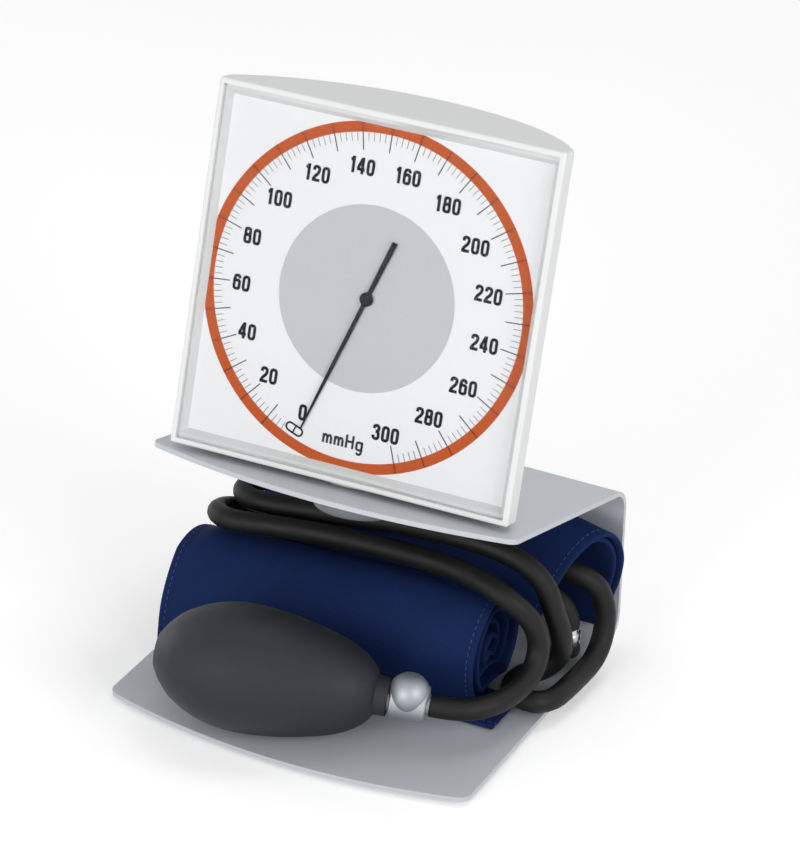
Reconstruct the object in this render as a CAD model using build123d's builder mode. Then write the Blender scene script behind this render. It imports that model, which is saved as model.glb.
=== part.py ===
from build123d import *
from math import asin, atan2, cos, degrees, pi, radians, sin, sqrt, tan
import os

# Desk blood-pressure gauge: a bent sheet stand, a large square dial head that swivels on its
# sloping shelf, and the rolled cuff, bulb and looped hoses stored under the shelf.
# Millimetres. X to the user's right, Y to the back, Z up, origin under the middle.

# Stand
stand_width = 160.0
sheet = 2.0
foot_height = 2.0
foot_radius = 6.0
foot_inset = 14.0
back_y = 82.0
base_side = 142.0
base_bow = 12.0
corner_height = 71.7
shelf_tilt = 15.5
shelf_side = 110.8
shelf_bow = 15.5
bend_radius = 12.0
corner_radius = 5.0

# Swivel between the shelf and the head
swivel_from_back = 87.5
head_turn = 3.0
swivel_range = 90.0
spindle_radius = 5.0
spindle_bore = 1.0
nipple_radius = 1.3
inner_tube_wall = 1.0
spindle_flange_radius = 17.0
spindle_flange = 1.6
washer_thick = 0.8
washer_radius = 15.0
fit_gap = 0.05
seat_gap = 0.3
cup_radius = 16.0
cup_height = 11.0
cup_screw_ring = 11.8
cup_screw_radius = 1.5
key_reach = 8.2
key_width = 4.0
key_pocket = 2.4
land_height = 2.6
chamber_radius = 8.0
cup_cap_thick = 1.6
cup_round = 2.5
hose_axis_drop = 9.2
outlet_radius = 2.0

# Head housing
head_width = 144.7
head_height = 147.4
side_depth = 9.0
head_depth = 51.0
rim_ahead = 22.3
head_wall = 2.2
edge_round = 1.0
window_set_back = 0.5
window_thick = 1.5
bevel_depth = 2.5
bevel_run = 2.0
frame_side = 5.15
frame_top = 6.2
dial_open_width = head_width - 2 * frame_side
dial_open_height = head_height - 2 * frame_top
dial_thick = 1.0

# Movement, behind the dial
arbor_radius = 0.8
pinion_teeth = 10
sector_teeth = 90
gear_module = 0.4
gear_thick = 1.2
scale_sweep = 322.0
plate_thick = 1.5
plate_width = 52.0
plate_height = 50.0
plate_drop = 13.0
front_plate_depth = 9.0
rear_plate_depth = head_depth - 31.0
bracket_depth = head_depth - 11.0
pillar_radius = 2.2
pillar_x = 22.0
pillar_y = 21.0
capsule_radius = 22.0
capsule_thick = 8.0
capsule_depth = bracket_depth - 11.0
pin_radius = 0.8
rocker_radius = 0.9
arm_half = 0.6
rocker_arm = 4.0
rocker_lead = 3.35
tail_length = 8.0
boss_radius = 4.5

# Pointer
pointer_length = 60.0
pointer_tail = 27.0
pointer_thick = 0.5
hub_radius = 4.2

# Bulb and release valve
bulb_radius = 25.6
bulb_front = 35.6
bulb_back = 56.8
bulb_wall = 2.5
bulb_neck = 7.8
bulb_x = -21.0
bulb_y = -55.85
bulb_pitch = -5.7
bulb_yaw = 16.8
valve_radius = 8.2
valve_below = 8.0
valve_above = 0.7
knob_radius = 9.25
knob_low = 4.0
stem_radius = 2.0

# Cuff
cuff_left = -79.0
cuff_right = 57.0
cuff_cloth = 2.6
cuff_groove = 0.7
groove_depth = 10.0
tail_left = -48.0
tail_right = 71.0
tail_thick = 6.0
flap_left = -70.0
flap_right = 68.0

# Hoses
hose_radius = 4.5
collar_radius = 5.2

os.makedirs("parts", exist_ok=True)


def save(part, name):
    """Label one finished piece and write it to its own file."""
    part.label = name
    export_step(part, f"parts/{name}.step")


# Frames: the shelf's top face, and the head that stands square on it at its own turn
slope = radians(shelf_tilt)
shelf_plane = Plane(
    origin=(0, back_y, corner_height), x_dir=(1, 0, 0), z_dir=(0, sin(slope), cos(slope))
)
swivel_plane = Plane(
    origin=shelf_plane.from_local_coords(Vector(0, -swivel_from_back, 0)),
    x_dir=(1, 0, 0),
    z_dir=shelf_plane.z_dir,
)
head_plane = Plane(swivel_plane.location * Rotation(0, 0, head_turn))
upward = Axis(swivel_plane.origin, swivel_plane.z_dir)
rearward = Axis(swivel_plane.origin, swivel_plane.y_dir)
head_gap = washer_thick + spindle_flange
dial_height = head_gap + head_height / 2


def stand_deck(height):
    """A plane parallel to the shelf, square to the stand, at a height above its top face."""
    return swivel_plane.offset(height)


def deck(height):
    """The same, turned with the head."""
    return head_plane.offset(height)


def dial_frame(depth, x=0.0, y=0.0):
    """A plane facing out of the dial, centred at x, y from its middle, this far behind the rim."""
    at = head_plane.from_local_coords(Vector(x, depth - rim_ahead, dial_height + y))
    return Plane(origin=at, x_dir=head_plane.x_dir, z_dir=-head_plane.y_dir)


def world(x, height, depth):
    """A point of the head: right of the middle, above the shelf, behind the swivel axis."""
    return head_plane.from_local_coords(Vector(x, depth, height))


# Stand: one sheet bent twice into base, back wall and sloping shelf
with BuildPart() as stand_plate:
    shelf_reach = shelf_side + shelf_bow
    with BuildSketch(Plane.YZ):
        with BuildLine():
            FilletPolyline(
                (back_y - base_side - base_bow, foot_height),
                (back_y, foot_height),
                (back_y, corner_height),
                (back_y - shelf_reach * cos(slope), corner_height + shelf_reach * sin(slope)),
                radius=bend_radius,
            )
            offset(amount=sheet, side=Side.LEFT)
        make_face()
    extrude(amount=stand_width / 2, both=True)
    front_edges = (
        (Plane.XY.offset(foot_height - sheet), back_y - base_side, base_bow),
        (shelf_plane.offset(-2 * sheet), -shelf_side, shelf_bow),
    )
    for plane, side_y, bow in front_edges:
        with BuildSketch(plane, mode=Mode.PRIVATE) as kept:
            with BuildLine():
                front = ThreePointArc(
                    (-stand_width / 2, side_y), (0, side_y - bow), (stand_width / 2, side_y)
                )
                Polyline(
                    front @ 1,
                    (stand_width / 2, side_y + 4 * bow),
                    (-stand_width / 2, side_y + 4 * bow),
                    front @ 0,
                )
            make_face()
            fillet(kept.vertices().group_by(Axis.Y)[0], corner_radius)
        with BuildSketch(plane):
            with Locations((0, side_y - bow)):
                Rectangle(1.2 * stand_width, 4 * bow)
            add(kept.sketch_local, mode=Mode.SUBTRACT)
        extrude(amount=3 * sheet, mode=Mode.SUBTRACT)
    with Locations(stand_deck(0)):
        Hole(radius=spindle_radius + seat_gap, depth=2 * sheet)
        with PolarLocations(cup_screw_ring, 3, start_angle=30):
            CounterSinkHole(
                radius=cup_screw_radius + seat_gap / 3,
                counter_sink_radius=2 * cup_screw_radius,
                depth=2 * sheet,
            )
save(stand_plate.part, "stand_plate")

# Rubber pads under the four corners of the base
with BuildPart() as foot_pads:
    foot_x = stand_width / 2 - foot_inset
    with BuildSketch(Plane.XY):
        for y in (back_y - foot_inset - bend_radius / 2, back_y - base_side + foot_inset):
            with Locations((-foot_x, y), (foot_x, y)):
                Circle(foot_radius)
    extrude(amount=foot_height)
save(foot_pads.part, "foot_pads")

# Slip washer between the shelf and the head's flange
with BuildPart() as slip_washer:
    with BuildSketch(stand_deck(0)):
        Circle(washer_radius)
        Circle(spindle_radius + seat_gap, mode=Mode.SUBTRACT)
    extrude(amount=washer_thick)
save(slip_washer.part, "slip_washer")

# Cup under the shelf: bearing, stop pocket and air chamber of the swivel
cup_top = -sheet
land_top = cup_top - key_pocket
chamber_top = land_top - land_height
cup_bottom = cup_top - cup_height
hose_height = -hose_axis_drop
key_angle = degrees(2 * asin(key_width / 2 / spindle_radius))
with BuildPart() as swivel_cup:
    with BuildSketch(stand_deck(cup_bottom)):
        Circle(cup_radius)
    extrude(amount=cup_height)
    fillet(swivel_cup.faces().sort_by(upward)[0].edges(), cup_round)
    with BuildSketch(stand_deck(cup_bottom)):
        Circle(spindle_radius + fit_gap)
    extrude(amount=cup_height, mode=Mode.SUBTRACT)
    with BuildSketch(stand_deck(cup_bottom)):
        Circle(chamber_radius)
    extrude(amount=chamber_top - cup_bottom, mode=Mode.SUBTRACT)
    with BuildSketch(stand_deck(land_top)):
        Circle(key_reach + seat_gap)
        stop_half = swivel_range + key_angle / 2 + 2
        with BuildLine():
            block = CenterArc((0, 0), 2 * key_reach, stop_half, 360 - 2 * stop_half)
            Line(block @ 0, (0, 0))
            Line((0, 0), block @ 1)
        make_face(mode=Mode.SUBTRACT)
        Circle(spindle_radius + fit_gap)
    extrude(amount=key_pocket, mode=Mode.SUBTRACT)
    bore_plane = Plane(
        origin=swivel_plane.from_local_coords(Vector(0, chamber_radius - 1, hose_height)),
        x_dir=(1, 0, 0),
        z_dir=swivel_plane.y_dir,
    )
    with BuildSketch(bore_plane):
        Circle(outlet_radius)
    extrude(amount=cup_radius, mode=Mode.SUBTRACT)
    with Locations(stand_deck(cup_top)):
        with PolarLocations(cup_screw_ring, 3, start_angle=30):
            Hole(radius=cup_screw_radius, depth=key_pocket + land_height)
save(swivel_cup.part, "swivel_cup")

# Plug that closes the cup from below, with its coin slot
with BuildPart() as cup_cap:
    with BuildSketch(stand_deck(cup_bottom)):
        Circle(chamber_radius - fit_gap)
    extrude(amount=cup_cap_thick)
    with BuildSketch(stand_deck(cup_bottom)):
        Rectangle(1.4 * chamber_radius, 1.2)
    extrude(amount=cup_cap_thick / 2, mode=Mode.SUBTRACT)
save(cup_cap.part, "cup_cap")

# Countersunk screws through the shelf into the cup
with BuildPart() as cup_screws:
    with Locations(stand_deck(0)):
        with PolarLocations(cup_screw_ring, 3, start_angle=30):
            Cone(
                bottom_radius=cup_screw_radius - fit_gap,
                top_radius=2 * cup_screw_radius - 2 * fit_gap,
                height=cup_screw_radius,
                align=(Align.CENTER, Align.CENTER, Align.MAX),
            )
            Cylinder(
                radius=cup_screw_radius - fit_gap,
                height=sheet + key_pocket + 1,
                align=(Align.CENTER, Align.CENTER, Align.MAX),
            )
save(cup_screws.part, "cup_screws")

# Screwed outlet on the back of the cup, where the gauge hose is clamped on
with BuildPart() as hose_outlet:
    with BuildSketch(bore_plane.offset(1)):
        Circle(outlet_radius - fit_gap)
        Circle(spindle_bore, mode=Mode.SUBTRACT)
    extrude(amount=cup_radius - chamber_radius)
    with BuildSketch(bore_plane.offset(1 + cup_radius - chamber_radius)):
        Circle(collar_radius)
        Circle(spindle_bore, mode=Mode.SUBTRACT)
    extrude(amount=4)
save(hose_outlet.part, "hose_outlet")

# Hollow spindle: flange that carries the head, and journal that turns in the cup
flange_low = washer_thick
journal_end = cup_bottom + cup_cap_thick + 2.0
thread_top = head_gap + head_wall + 6
nipple_top = thread_top + 8
clip_groove_top = chamber_top - 2 * fit_gap
clip_thick = 0.8
ring_section = 0.7
with BuildPart() as swivel_spindle:
    with BuildSketch(deck(flange_low)):
        Circle(spindle_flange_radius)
    extrude(amount=spindle_flange)
    with BuildSketch(deck(journal_end)):
        Circle(spindle_radius)
    extrude(amount=flange_low - journal_end)
    with BuildSketch(deck(head_gap)):
        Circle(spindle_radius + 1)
    extrude(amount=thread_top - head_gap)
    with BuildSketch(deck(thread_top)):
        Circle(nipple_radius)
    extrude(amount=nipple_top - thread_top)
    with BuildSketch(deck(land_top + seat_gap)):
        with Locations((spindle_radius - 1, 0)):
            Rectangle(
                key_reach - spindle_radius + 1, key_width, align=(Align.MIN, Align.CENTER)
            )
    extrude(amount=key_pocket - 2 * seat_gap)
    with BuildSketch(deck(clip_groove_top - clip_thick)):
        Circle(spindle_radius + 1)
        Circle(spindle_radius - 0.8, mode=Mode.SUBTRACT)
    extrude(amount=clip_thick, mode=Mode.SUBTRACT)
    with BuildSketch(deck(chamber_top + land_height / 2 - ring_section)):
        Circle(spindle_radius + 1)
        Circle(spindle_radius - 2 * ring_section, mode=Mode.SUBTRACT)
    extrude(amount=2 * ring_section, mode=Mode.SUBTRACT)
    with BuildSketch(deck(journal_end)):
        Circle(spindle_bore)
    extrude(amount=nipple_top - journal_end, mode=Mode.SUBTRACT)
save(swivel_spindle.part, "swivel_spindle")

# Seal ring in the journal's groove
with BuildPart() as seal_ring:
    with Locations(deck(chamber_top + land_height / 2)):
        Torus(spindle_radius - ring_section - fit_gap / 2, ring_section - fit_gap)
save(seal_ring.part, "seal_ring")

# Spring clip that holds the journal up in the cup
with BuildPart() as spindle_clip:
    with BuildSketch(deck(clip_groove_top - clip_thick + fit_gap)):
        Circle(spindle_radius + 1.6)
        Circle(spindle_radius - 0.8, mode=Mode.SUBTRACT)
        with Locations((0, -spindle_radius)):
            Rectangle(spindle_radius, 2 * spindle_radius, mode=Mode.SUBTRACT)
    extrude(amount=clip_thick - 2 * fit_gap)
save(spindle_clip.part, "spindle_clip")

# Hex nut that clamps the housing floor on the spindle's flange
with BuildPart() as spindle_nut:
    with BuildSketch(deck(head_gap + head_wall)):
        RegularPolygon(radius=2 * spindle_radius, side_count=6)
        Circle(spindle_radius + 1, mode=Mode.SUBTRACT)
    extrude(amount=4)
save(spindle_nut.part, "spindle_nut")


# Housing: a flat-fronted D in plan, straight sides, bowed back
sagitta = head_depth - side_depth
back_radius = ((head_width / 2) ** 2 + sagitta**2) / (2 * sagitta)


def back_depth(x, inset=0.0):
    """How far behind the rim the bowed back lies at this distance from the middle."""
    return head_depth - back_radius + sqrt((back_radius - inset) ** 2 - x**2)


def d_plan(inset, front):
    """The housing's plan outline, drawn inside the outer one by an inset."""
    half = head_width / 2 - inset
    side_end = back_depth(half, inset) - rim_ahead
    with BuildLine() as outline:
        Polyline((half, side_end), (half, front), (-half, front), (-half, side_end))
        ThreePointArc((-half, side_end), (0, head_depth - inset - rim_ahead), (half, side_end))
    make_face(outline.edges())


screw_spots = ((pillar_x, -plate_drop), (-pillar_x, -plate_drop), (0.0, pillar_y - plate_drop))
bracket_back = bracket_depth + plate_thick
screw_seat = bracket_back + 3.0
with BuildPart() as housing_shell:
    with BuildSketch(deck(head_gap)):
        d_plan(0, -rim_ahead)
    extrude(amount=head_height)
    fillet(housing_shell.edges(), edge_round)
    with BuildSketch(deck(head_gap + head_wall)):
        d_plan(head_wall, -rim_ahead - 1)
    extrude(amount=head_height - 2 * head_wall, mode=Mode.SUBTRACT)
    with BuildSketch(deck(head_gap - 1)):
        Circle(spindle_radius + 1 + fit_gap)
    extrude(amount=head_wall + 2, mode=Mode.SUBTRACT)
    for x, y in screw_spots:
        boss_end = back_depth(x) - head_wall / 2
        with BuildSketch(dial_frame(boss_end, x, y)):
            Circle(boss_radius)
        extrude(amount=boss_end - bracket_back)
    for x, y in screw_spots:
        with BuildSketch(dial_frame(head_depth + 1, x, y)):
            Circle(1.6)
        extrude(amount=head_depth + 1 - bracket_depth, mode=Mode.SUBTRACT)
        with BuildSketch(dial_frame(head_depth + 1, x, y)):
            Circle(3.1)
        extrude(amount=head_depth + 1 - screw_seat, mode=Mode.SUBTRACT)
save(housing_shell.part, "housing_shell")

# Screws from the back through the housing's bosses into the movement's bracket
with BuildPart() as back_screws:
    for x, y in screw_spots:
        with BuildSketch(dial_frame(screw_seat, x, y)):
            Circle(1.5)
        extrude(amount=screw_seat - bracket_depth)
        with BuildSketch(dial_frame(screw_seat + 1.6, x, y)):
            Circle(2.8)
        extrude(amount=1.6)
        with BuildSketch(dial_frame(screw_seat + 1.6, x, y)):
            Rectangle(4.4, 0.7)
            Rectangle(0.7, 4.4)
        extrude(amount=0.8, mode=Mode.SUBTRACT)
save(back_screws.part, "back_screws")

# Clear window, set just inside the housing's rim
window_width = head_width - 2 * head_wall - 2 * fit_gap
window_height = head_height - 2 * head_wall - 2 * fit_gap
window_back = window_set_back + window_thick
with BuildPart() as front_window:
    with BuildSketch(dial_frame(window_back)):
        RectangleRounded(window_width, window_height, 0.8)
    extrude(amount=window_thick)
save(front_window.part, "front_window")

# Bevelled frame behind the window, round the dial
dial_depth = window_back + bevel_depth
with BuildPart() as bevel_frame:
    with BuildSketch(dial_frame(dial_depth)):
        RectangleRounded(window_width, window_height, 0.8)
    extrude(amount=bevel_depth)
    with BuildSketch(dial_frame(dial_depth)):
        Rectangle(dial_open_width, dial_open_height)
    with BuildSketch(dial_frame(window_back)):
        Rectangle(dial_open_width + 2 * bevel_run, dial_open_height + 2 * bevel_run)
    loft(mode=Mode.SUBTRACT)
save(bevel_frame.part, "bevel_frame")

# Dial plate, held on four posts of the movement
post_x = plate_width / 2 - 3
post_y = plate_height / 2 - 3
dial_back = dial_depth + dial_thick
with BuildPart() as dial_plate:
    with BuildSketch(dial_frame(dial_back)):
        Rectangle(window_width, window_height)
        Circle(2.5, mode=Mode.SUBTRACT)
    extrude(amount=dial_thick)
save(dial_plate.part, "dial_plate")

with BuildPart() as dial_posts:
    with BuildSketch(dial_frame(front_plate_depth, 0, -plate_drop)):
        with GridLocations(2 * post_x, 2 * post_y, 2, 2):
            Circle(1.5)
    extrude(amount=front_plate_depth - dial_back)
save(dial_posts.part, "dial_posts")

# Movement: two plates and a bracket on pillars
pinion_pitch = pinion_teeth * gear_module / 2
sector_pitch = sector_teeth * gear_module / 2
gear_ratio = sector_teeth / pinion_teeth
sector_y = -(pinion_pitch + sector_pitch)
sector_half = scale_sweep / gear_ratio / 2
gear_depth = (front_plate_depth + plate_thick + rear_plate_depth) / 2 - 0.6
rocker_finger = capsule_depth - rocker_lead - gear_depth
tail_drop = 0.97 * tail_length
finger_radius = 0.7
finger_half = 0.3
tail_half = 0.8
finger_lever = rocker_finger - gear_thick / 2
rocker_half = degrees(atan2(tail_drop * tan(radians(sector_half)), finger_lever))
touch_slack = 2 * fit_gap
rocker_x = -(
    tail_half / cos(radians(sector_half))
    + finger_radius / cos(radians(rocker_half))
    + finger_half * tan(radians(sector_half))
    + gear_thick / 2 * tan(radians(rocker_half))
    + touch_slack
)
rocker_depth = gear_depth + rocker_finger
pin_x = rocker_x - rocker_arm * cos(radians(rocker_half))
capsule_y = -plate_drop - 1.0
finger_y = sector_y - tail_drop
pin_travel = 2 * rocker_arm * sin(radians(rocker_half))
pin_tip = (
    rocker_depth
    + (rocker_arm * cos(radians(rocker_half)) + pin_radius) * tan(radians(rocker_half))
    + arm_half / cos(radians(rocker_half))
    + touch_slack
)


def plate_blank(depth):
    """A movement plate with rounded corners, its front face this far behind the rim."""
    with BuildSketch(dial_frame(depth + plate_thick, 0, -plate_drop)) as blank:
        RectangleRounded(plate_width, plate_height, 3)
    extrude(blank.sketch, amount=plate_thick)


def plate_hole(depth, x, y, radius):
    """A round hole through the plate at this depth."""
    with BuildSketch(dial_frame(depth + plate_thick + 1, x, y)) as hole:
        Circle(radius)
    extrude(hole.sketch, amount=plate_thick + 2, mode=Mode.SUBTRACT)


def pillars(front_depth, back_end):
    """Four turned pillars between two plates."""
    with BuildSketch(dial_frame(back_end, 0, -plate_drop)) as ends:
        with GridLocations(2 * pillar_x, 2 * pillar_y, 2, 2):
            Circle(pillar_radius)
    extrude(ends.sketch, amount=back_end - front_depth)


with BuildPart() as movement_front_plate:
    plate_blank(front_plate_depth)
    plate_hole(front_plate_depth, 0, 0, arbor_radius + fit_gap)
    plate_hole(front_plate_depth, 0, sector_y, arbor_radius + fit_gap)
save(movement_front_plate.part, "movement_front_plate")

with BuildPart() as movement_rear_plate:
    plate_blank(rear_plate_depth)
    plate_hole(rear_plate_depth, 0, 0, arbor_radius + fit_gap)
    plate_hole(rear_plate_depth, 0, sector_y, arbor_radius + fit_gap)
    with BuildSketch(dial_frame(rear_plate_depth + plate_thick + 1, rocker_x, finger_y)):
        SlotOverall(2.5 * rocker_arm, 3)
    extrude(amount=plate_thick + 2, mode=Mode.SUBTRACT)
    lug_back = rocker_depth + 2.4
    for y in (finger_y - 3.4, capsule_y + 3.4):
        with BuildSketch(dial_frame(lug_back, rocker_x, y)):
            Rectangle(4.8, 2)
        extrude(amount=lug_back - rear_plate_depth - plate_thick)
    rocker_bore = Plane(
        origin=dial_frame(rocker_depth, rocker_x, finger_y - 6).origin,
        x_dir=head_plane.x_dir,
        z_dir=head_plane.z_dir,
    )
    with BuildSketch(rocker_bore):
        Circle(rocker_radius + fit_gap)
    extrude(amount=capsule_y - finger_y + 14, mode=Mode.SUBTRACT)
save(movement_rear_plate.part, "movement_rear_plate")

with BuildPart() as movement_pillars:
    pillars(front_plate_depth + plate_thick, rear_plate_depth)
save(movement_pillars.part, "movement_pillars")

with BuildPart() as capsule_bracket:
    plate_blank(bracket_depth)
    plate_hole(bracket_depth, pin_x, capsule_y, 3 + fit_gap)
    for x, y in screw_spots:
        plate_hole(bracket_depth, x, y, 1.5 + fit_gap)
save(capsule_bracket.part, "capsule_bracket")

with BuildPart() as capsule_pillars:
    pillars(rear_plate_depth + plate_thick, bracket_depth)
save(capsule_pillars.part, "capsule_pillars")

# Pressure capsule: two corrugated diaphragms joined at the rim, with stem and front boss
capsule_back = capsule_depth + capsule_thick
stem_end = bracket_back + 3.0
capsule_turn = Plane(
    origin=dial_frame(capsule_depth, pin_x, capsule_y).origin,
    x_dir=head_plane.x_dir,
    z_dir=head_plane.z_dir,
)
with BuildPart() as pressure_capsule:
    with BuildSketch(capsule_turn):
        with BuildLine():
            wave = capsule_radius / 7
            mid = capsule_thick / 2
            front_line = [(0, 0.9), (wave, 0.9)]
            back_line = [(0, capsule_thick - 0.9), (wave, capsule_thick - 0.9)]
            for k in range(2, 7):
                rise = 0.9 if k % 2 else 1.9
                front_line.append((k * wave, rise))
                back_line.append((k * wave, capsule_thick - rise))
            Polyline(
                *front_line,
                (capsule_radius, mid - 0.4),
                (capsule_radius, mid + 0.4),
                *reversed(back_line),
                (0, 0.9),
            )
        make_face()
    revolve(axis=Axis(capsule_turn.origin, head_plane.y_dir))
    with BuildSketch(dial_frame(capsule_depth + 1, pin_x, capsule_y)):
        Circle(4)
    extrude(amount=1)
    with BuildSketch(dial_frame(stem_end, pin_x, capsule_y)):
        Circle(3)
    extrude(amount=stem_end - capsule_back + 2)
    with BuildSketch(dial_frame(capsule_back - 2, pin_x, capsule_y)):
        Circle(pin_radius + fit_gap)
    extrude(amount=capsule_thick, mode=Mode.SUBTRACT)
save(pressure_capsule.part, "pressure_capsule")

with BuildPart() as capsule_nut:
    with BuildSketch(dial_frame(bracket_back + 2.5, pin_x, capsule_y)):
        RegularPolygon(radius=5.5, side_count=6)
        Circle(3 + fit_gap, mode=Mode.SUBTRACT)
    extrude(amount=2.5)
save(capsule_nut.part, "capsule_nut")

# Air elbow on the capsule's stem, its nipple pointing down
with BuildPart() as air_elbow:
    with BuildSketch(dial_frame(stem_end + 3.4, pin_x, capsule_y)):
        RectangleRounded(7, 7, 1)
    extrude(amount=3.4)
    elbow_down = Plane(
        origin=dial_frame(stem_end + 1.3, pin_x, capsule_y).origin,
        x_dir=head_plane.x_dir,
        z_dir=-head_plane.z_dir,
    )
    with BuildSketch(elbow_down):
        Circle(nipple_radius)
    extrude(amount=10)
save(air_elbow.part, "air_elbow")

# Rubber tube inside the housing, pushed over the spindle's nipple and the elbow's
tube_depth = stem_end + 1.3 - rim_ahead
tube_top = dial_height + capsule_y - 6.5
with BuildPart() as inner_tube:
    with BuildLine() as inner_route:
        FilletPolyline(
            world(0, thread_top + seat_gap, 0),
            world(0, nipple_top + 4, 0),
            world(pin_x, nipple_top + 12, tube_depth),
            world(pin_x, tube_top, tube_depth),
            radius=5,
        )
    with BuildSketch(Plane(origin=inner_route.line @ 0, z_dir=inner_route.line % 0)):
        Circle(nipple_radius + inner_tube_wall)
        Circle(nipple_radius + fit_gap, mode=Mode.SUBTRACT)
    sweep()
save(inner_tube.part, "inner_tube")


def teeth(count_round, first, count):
    """Straight-sided gear teeth of the movement's module, the first one at an angle."""
    pitch = count_round * gear_module / 2
    half_root = 0.30 * pi * gear_module
    half_tip = 0.10 * pi * gear_module
    low = pitch - 1.85 * gear_module
    tip = pitch + 0.8 * gear_module
    for k in range(count):
        with Locations(Rotation(0, 0, first + k * 360 / count_round)):
            Polygon(
                (low, -half_root), (tip, -half_tip), (tip, half_tip), (low, half_root), align=None
            )


# Pointer arbor with its pinion, turning between the movement plates
pinion_root = pinion_pitch - 1.1 * gear_module
hub_front = window_back + 0.5
pointer_back = hub_front + 1.3
arbor_end = rear_plate_depth + plate_thick
with BuildPart() as pointer_arbor:
    with BuildSketch(dial_frame(arbor_end)):
        Circle(arbor_radius)
    extrude(amount=arbor_end - pointer_back + pointer_thick)
    with BuildSketch(dial_frame(gear_depth + gear_thick)):
        Circle(pinion_root)
        teeth(pinion_teeth, 180 / pinion_teeth - 90, pinion_teeth)
    extrude(amount=2 * gear_thick)
    with BuildSketch(dial_frame(gear_depth - 2.2)):
        Circle(1.5)
    extrude(amount=1)
save(pointer_arbor.part, "pointer_arbor")

# Pointer: a slim blade with a counterweight tail, on a round hub, resting on zero
pointer_rest = -90 - (360 - scale_sweep) / 2
with BuildPart() as pointer:
    with BuildSketch(dial_frame(pointer_back)):
        Circle(hub_radius)
        Circle(arbor_radius, mode=Mode.SUBTRACT)
        with Locations(Rotation(0, 0, pointer_rest)):
            Polygon(
                (arbor_radius + 0.5, -1.3),
                (pointer_length, -0.25),
                (pointer_length, 0.25),
                (arbor_radius + 0.5, 1.3),
                align=None,
            )
            Polygon(
                (-arbor_radius - 0.5, -1.5),
                (-arbor_radius - 0.5, 1.5),
                (-pointer_tail, 1.9),
                (-pointer_tail, -1.9),
                align=None,
            )
    extrude(amount=pointer_thick)
    with BuildSketch(dial_frame(pointer_back - pointer_thick)):
        Circle(0.8 * hub_radius)
    extrude(amount=0.6)
save(pointer.part, "pointer")

# Flat hairspring round the arbor, pinned to the rear plate
with BuildPart() as hairspring:
    with BuildSketch(dial_frame(gear_depth - 2.2)):
        with BuildLine():
            spring_line = []
            r0 = 2.0
            for k in range(7):
                r1 = r0 + 0.5
                sign = 1 if k % 2 == 0 else -1
                start = (sign * r0, 0)
                end = (-sign * r1, 0)
                mid_x = (start[0] + end[0]) / 2
                spring_line.append(ThreePointArc(start, (mid_x, sign * (r0 + r1) / 2), end))
                r0 = r1
            offset(amount=0.12, side=Side.BOTH)
        make_face()
    extrude(amount=0.9)
save(hairspring.part, "hairspring")

# Toothed sector that drives the pinion, with the tail that the rocker pushes
sector_span = 2 * sector_half + 12
sector_root = sector_pitch - 1.1 * gear_module
tooth_step = 360 / sector_teeth
sector_rest = 90 - sector_half
first_tooth = -int((sector_span / 2 + sector_half - 1) / tooth_step)
last_tooth = int((sector_span / 2 - sector_half - 1) / tooth_step)
with BuildPart() as sector_gear:
    with BuildSketch(dial_frame(gear_depth + gear_thick, 0, sector_y)):
        with BuildLine():
            rim = CenterArc((0, 0), sector_root, sector_rest - sector_span / 2, sector_span)
            Polyline(rim @ 1, (-tail_half, 0), (tail_half, 0), rim @ 0)
        make_face()
        Circle(3 * tail_half)
        with Locations(Rotation(0, 0, sector_rest + 180)):
            Rectangle(tail_length + 1, 2 * tail_half, align=(Align.MIN, Align.CENTER))
        teeth(sector_teeth, 90 + first_tooth * tooth_step, last_tooth - first_tooth + 1)
        Circle(arbor_radius, mode=Mode.SUBTRACT)
    extrude(amount=gear_thick)
save(sector_gear.part, "sector_gear")

with BuildPart() as sector_arbor:
    with BuildSketch(dial_frame(arbor_end, 0, sector_y)):
        Circle(arbor_radius)
    extrude(amount=arbor_end - front_plate_depth)
save(sector_arbor.part, "sector_arbor")

# Rocker: upright shaft with an arm for the capsule's pin and a finger for the sector's tail
rocker_low = finger_y - 4.2
rocker_high = capsule_y + 4.2
with BuildPart() as rocker_shaft:
    rocker_base = Plane(
        origin=dial_frame(rocker_depth, rocker_x, rocker_low).origin,
        x_dir=head_plane.x_dir,
        z_dir=head_plane.z_dir,
    )
    with BuildSketch(rocker_base):
        Circle(rocker_radius)
    extrude(amount=rocker_high - rocker_low)
    with BuildSketch(rocker_base.offset(capsule_y - rocker_low - 1)):
        with Locations(Rotation(0, 0, 180 - rocker_half)):
            Rectangle(rocker_arm + 1, 2 * arm_half, align=(Align.MIN, Align.CENTER))
    extrude(amount=2)
    with BuildSketch(rocker_base.offset(finger_y - rocker_low - finger_half)):
        with Locations(Rotation(0, 0, -90 - rocker_half)):
            Rectangle(rocker_finger + 0.6, 2 * finger_radius, align=(Align.MIN, Align.CENTER))
    extrude(amount=2 * finger_half)
save(rocker_shaft.part, "rocker_shaft")

# Push pin between the capsule and the rocker's arm
with BuildPart() as capsule_pin:
    with BuildSketch(dial_frame(capsule_depth + 3.5, pin_x, capsule_y)):
        Circle(pin_radius)
    extrude(amount=capsule_depth + 3.5 - pin_tip)
save(capsule_pin.part, "capsule_pin")

# Bulb, lying on the base with its neck towards the valve
bulb_axis = Vector(
    cos(radians(bulb_pitch)) * cos(radians(bulb_yaw)),
    cos(radians(bulb_pitch)) * sin(radians(bulb_yaw)),
    sin(radians(bulb_pitch)),
)
base_top = foot_height + sheet
bulb_lift = 0.55
bulb_centre = Vector(bulb_x, bulb_y, base_top + bulb_radius + seat_gap + bulb_lift)
bulb_side = Vector(0, 0, 1).cross(bulb_axis).normalized()
bulb_plane = Plane(origin=bulb_centre, x_dir=bulb_axis, z_dir=bulb_side)


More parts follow.
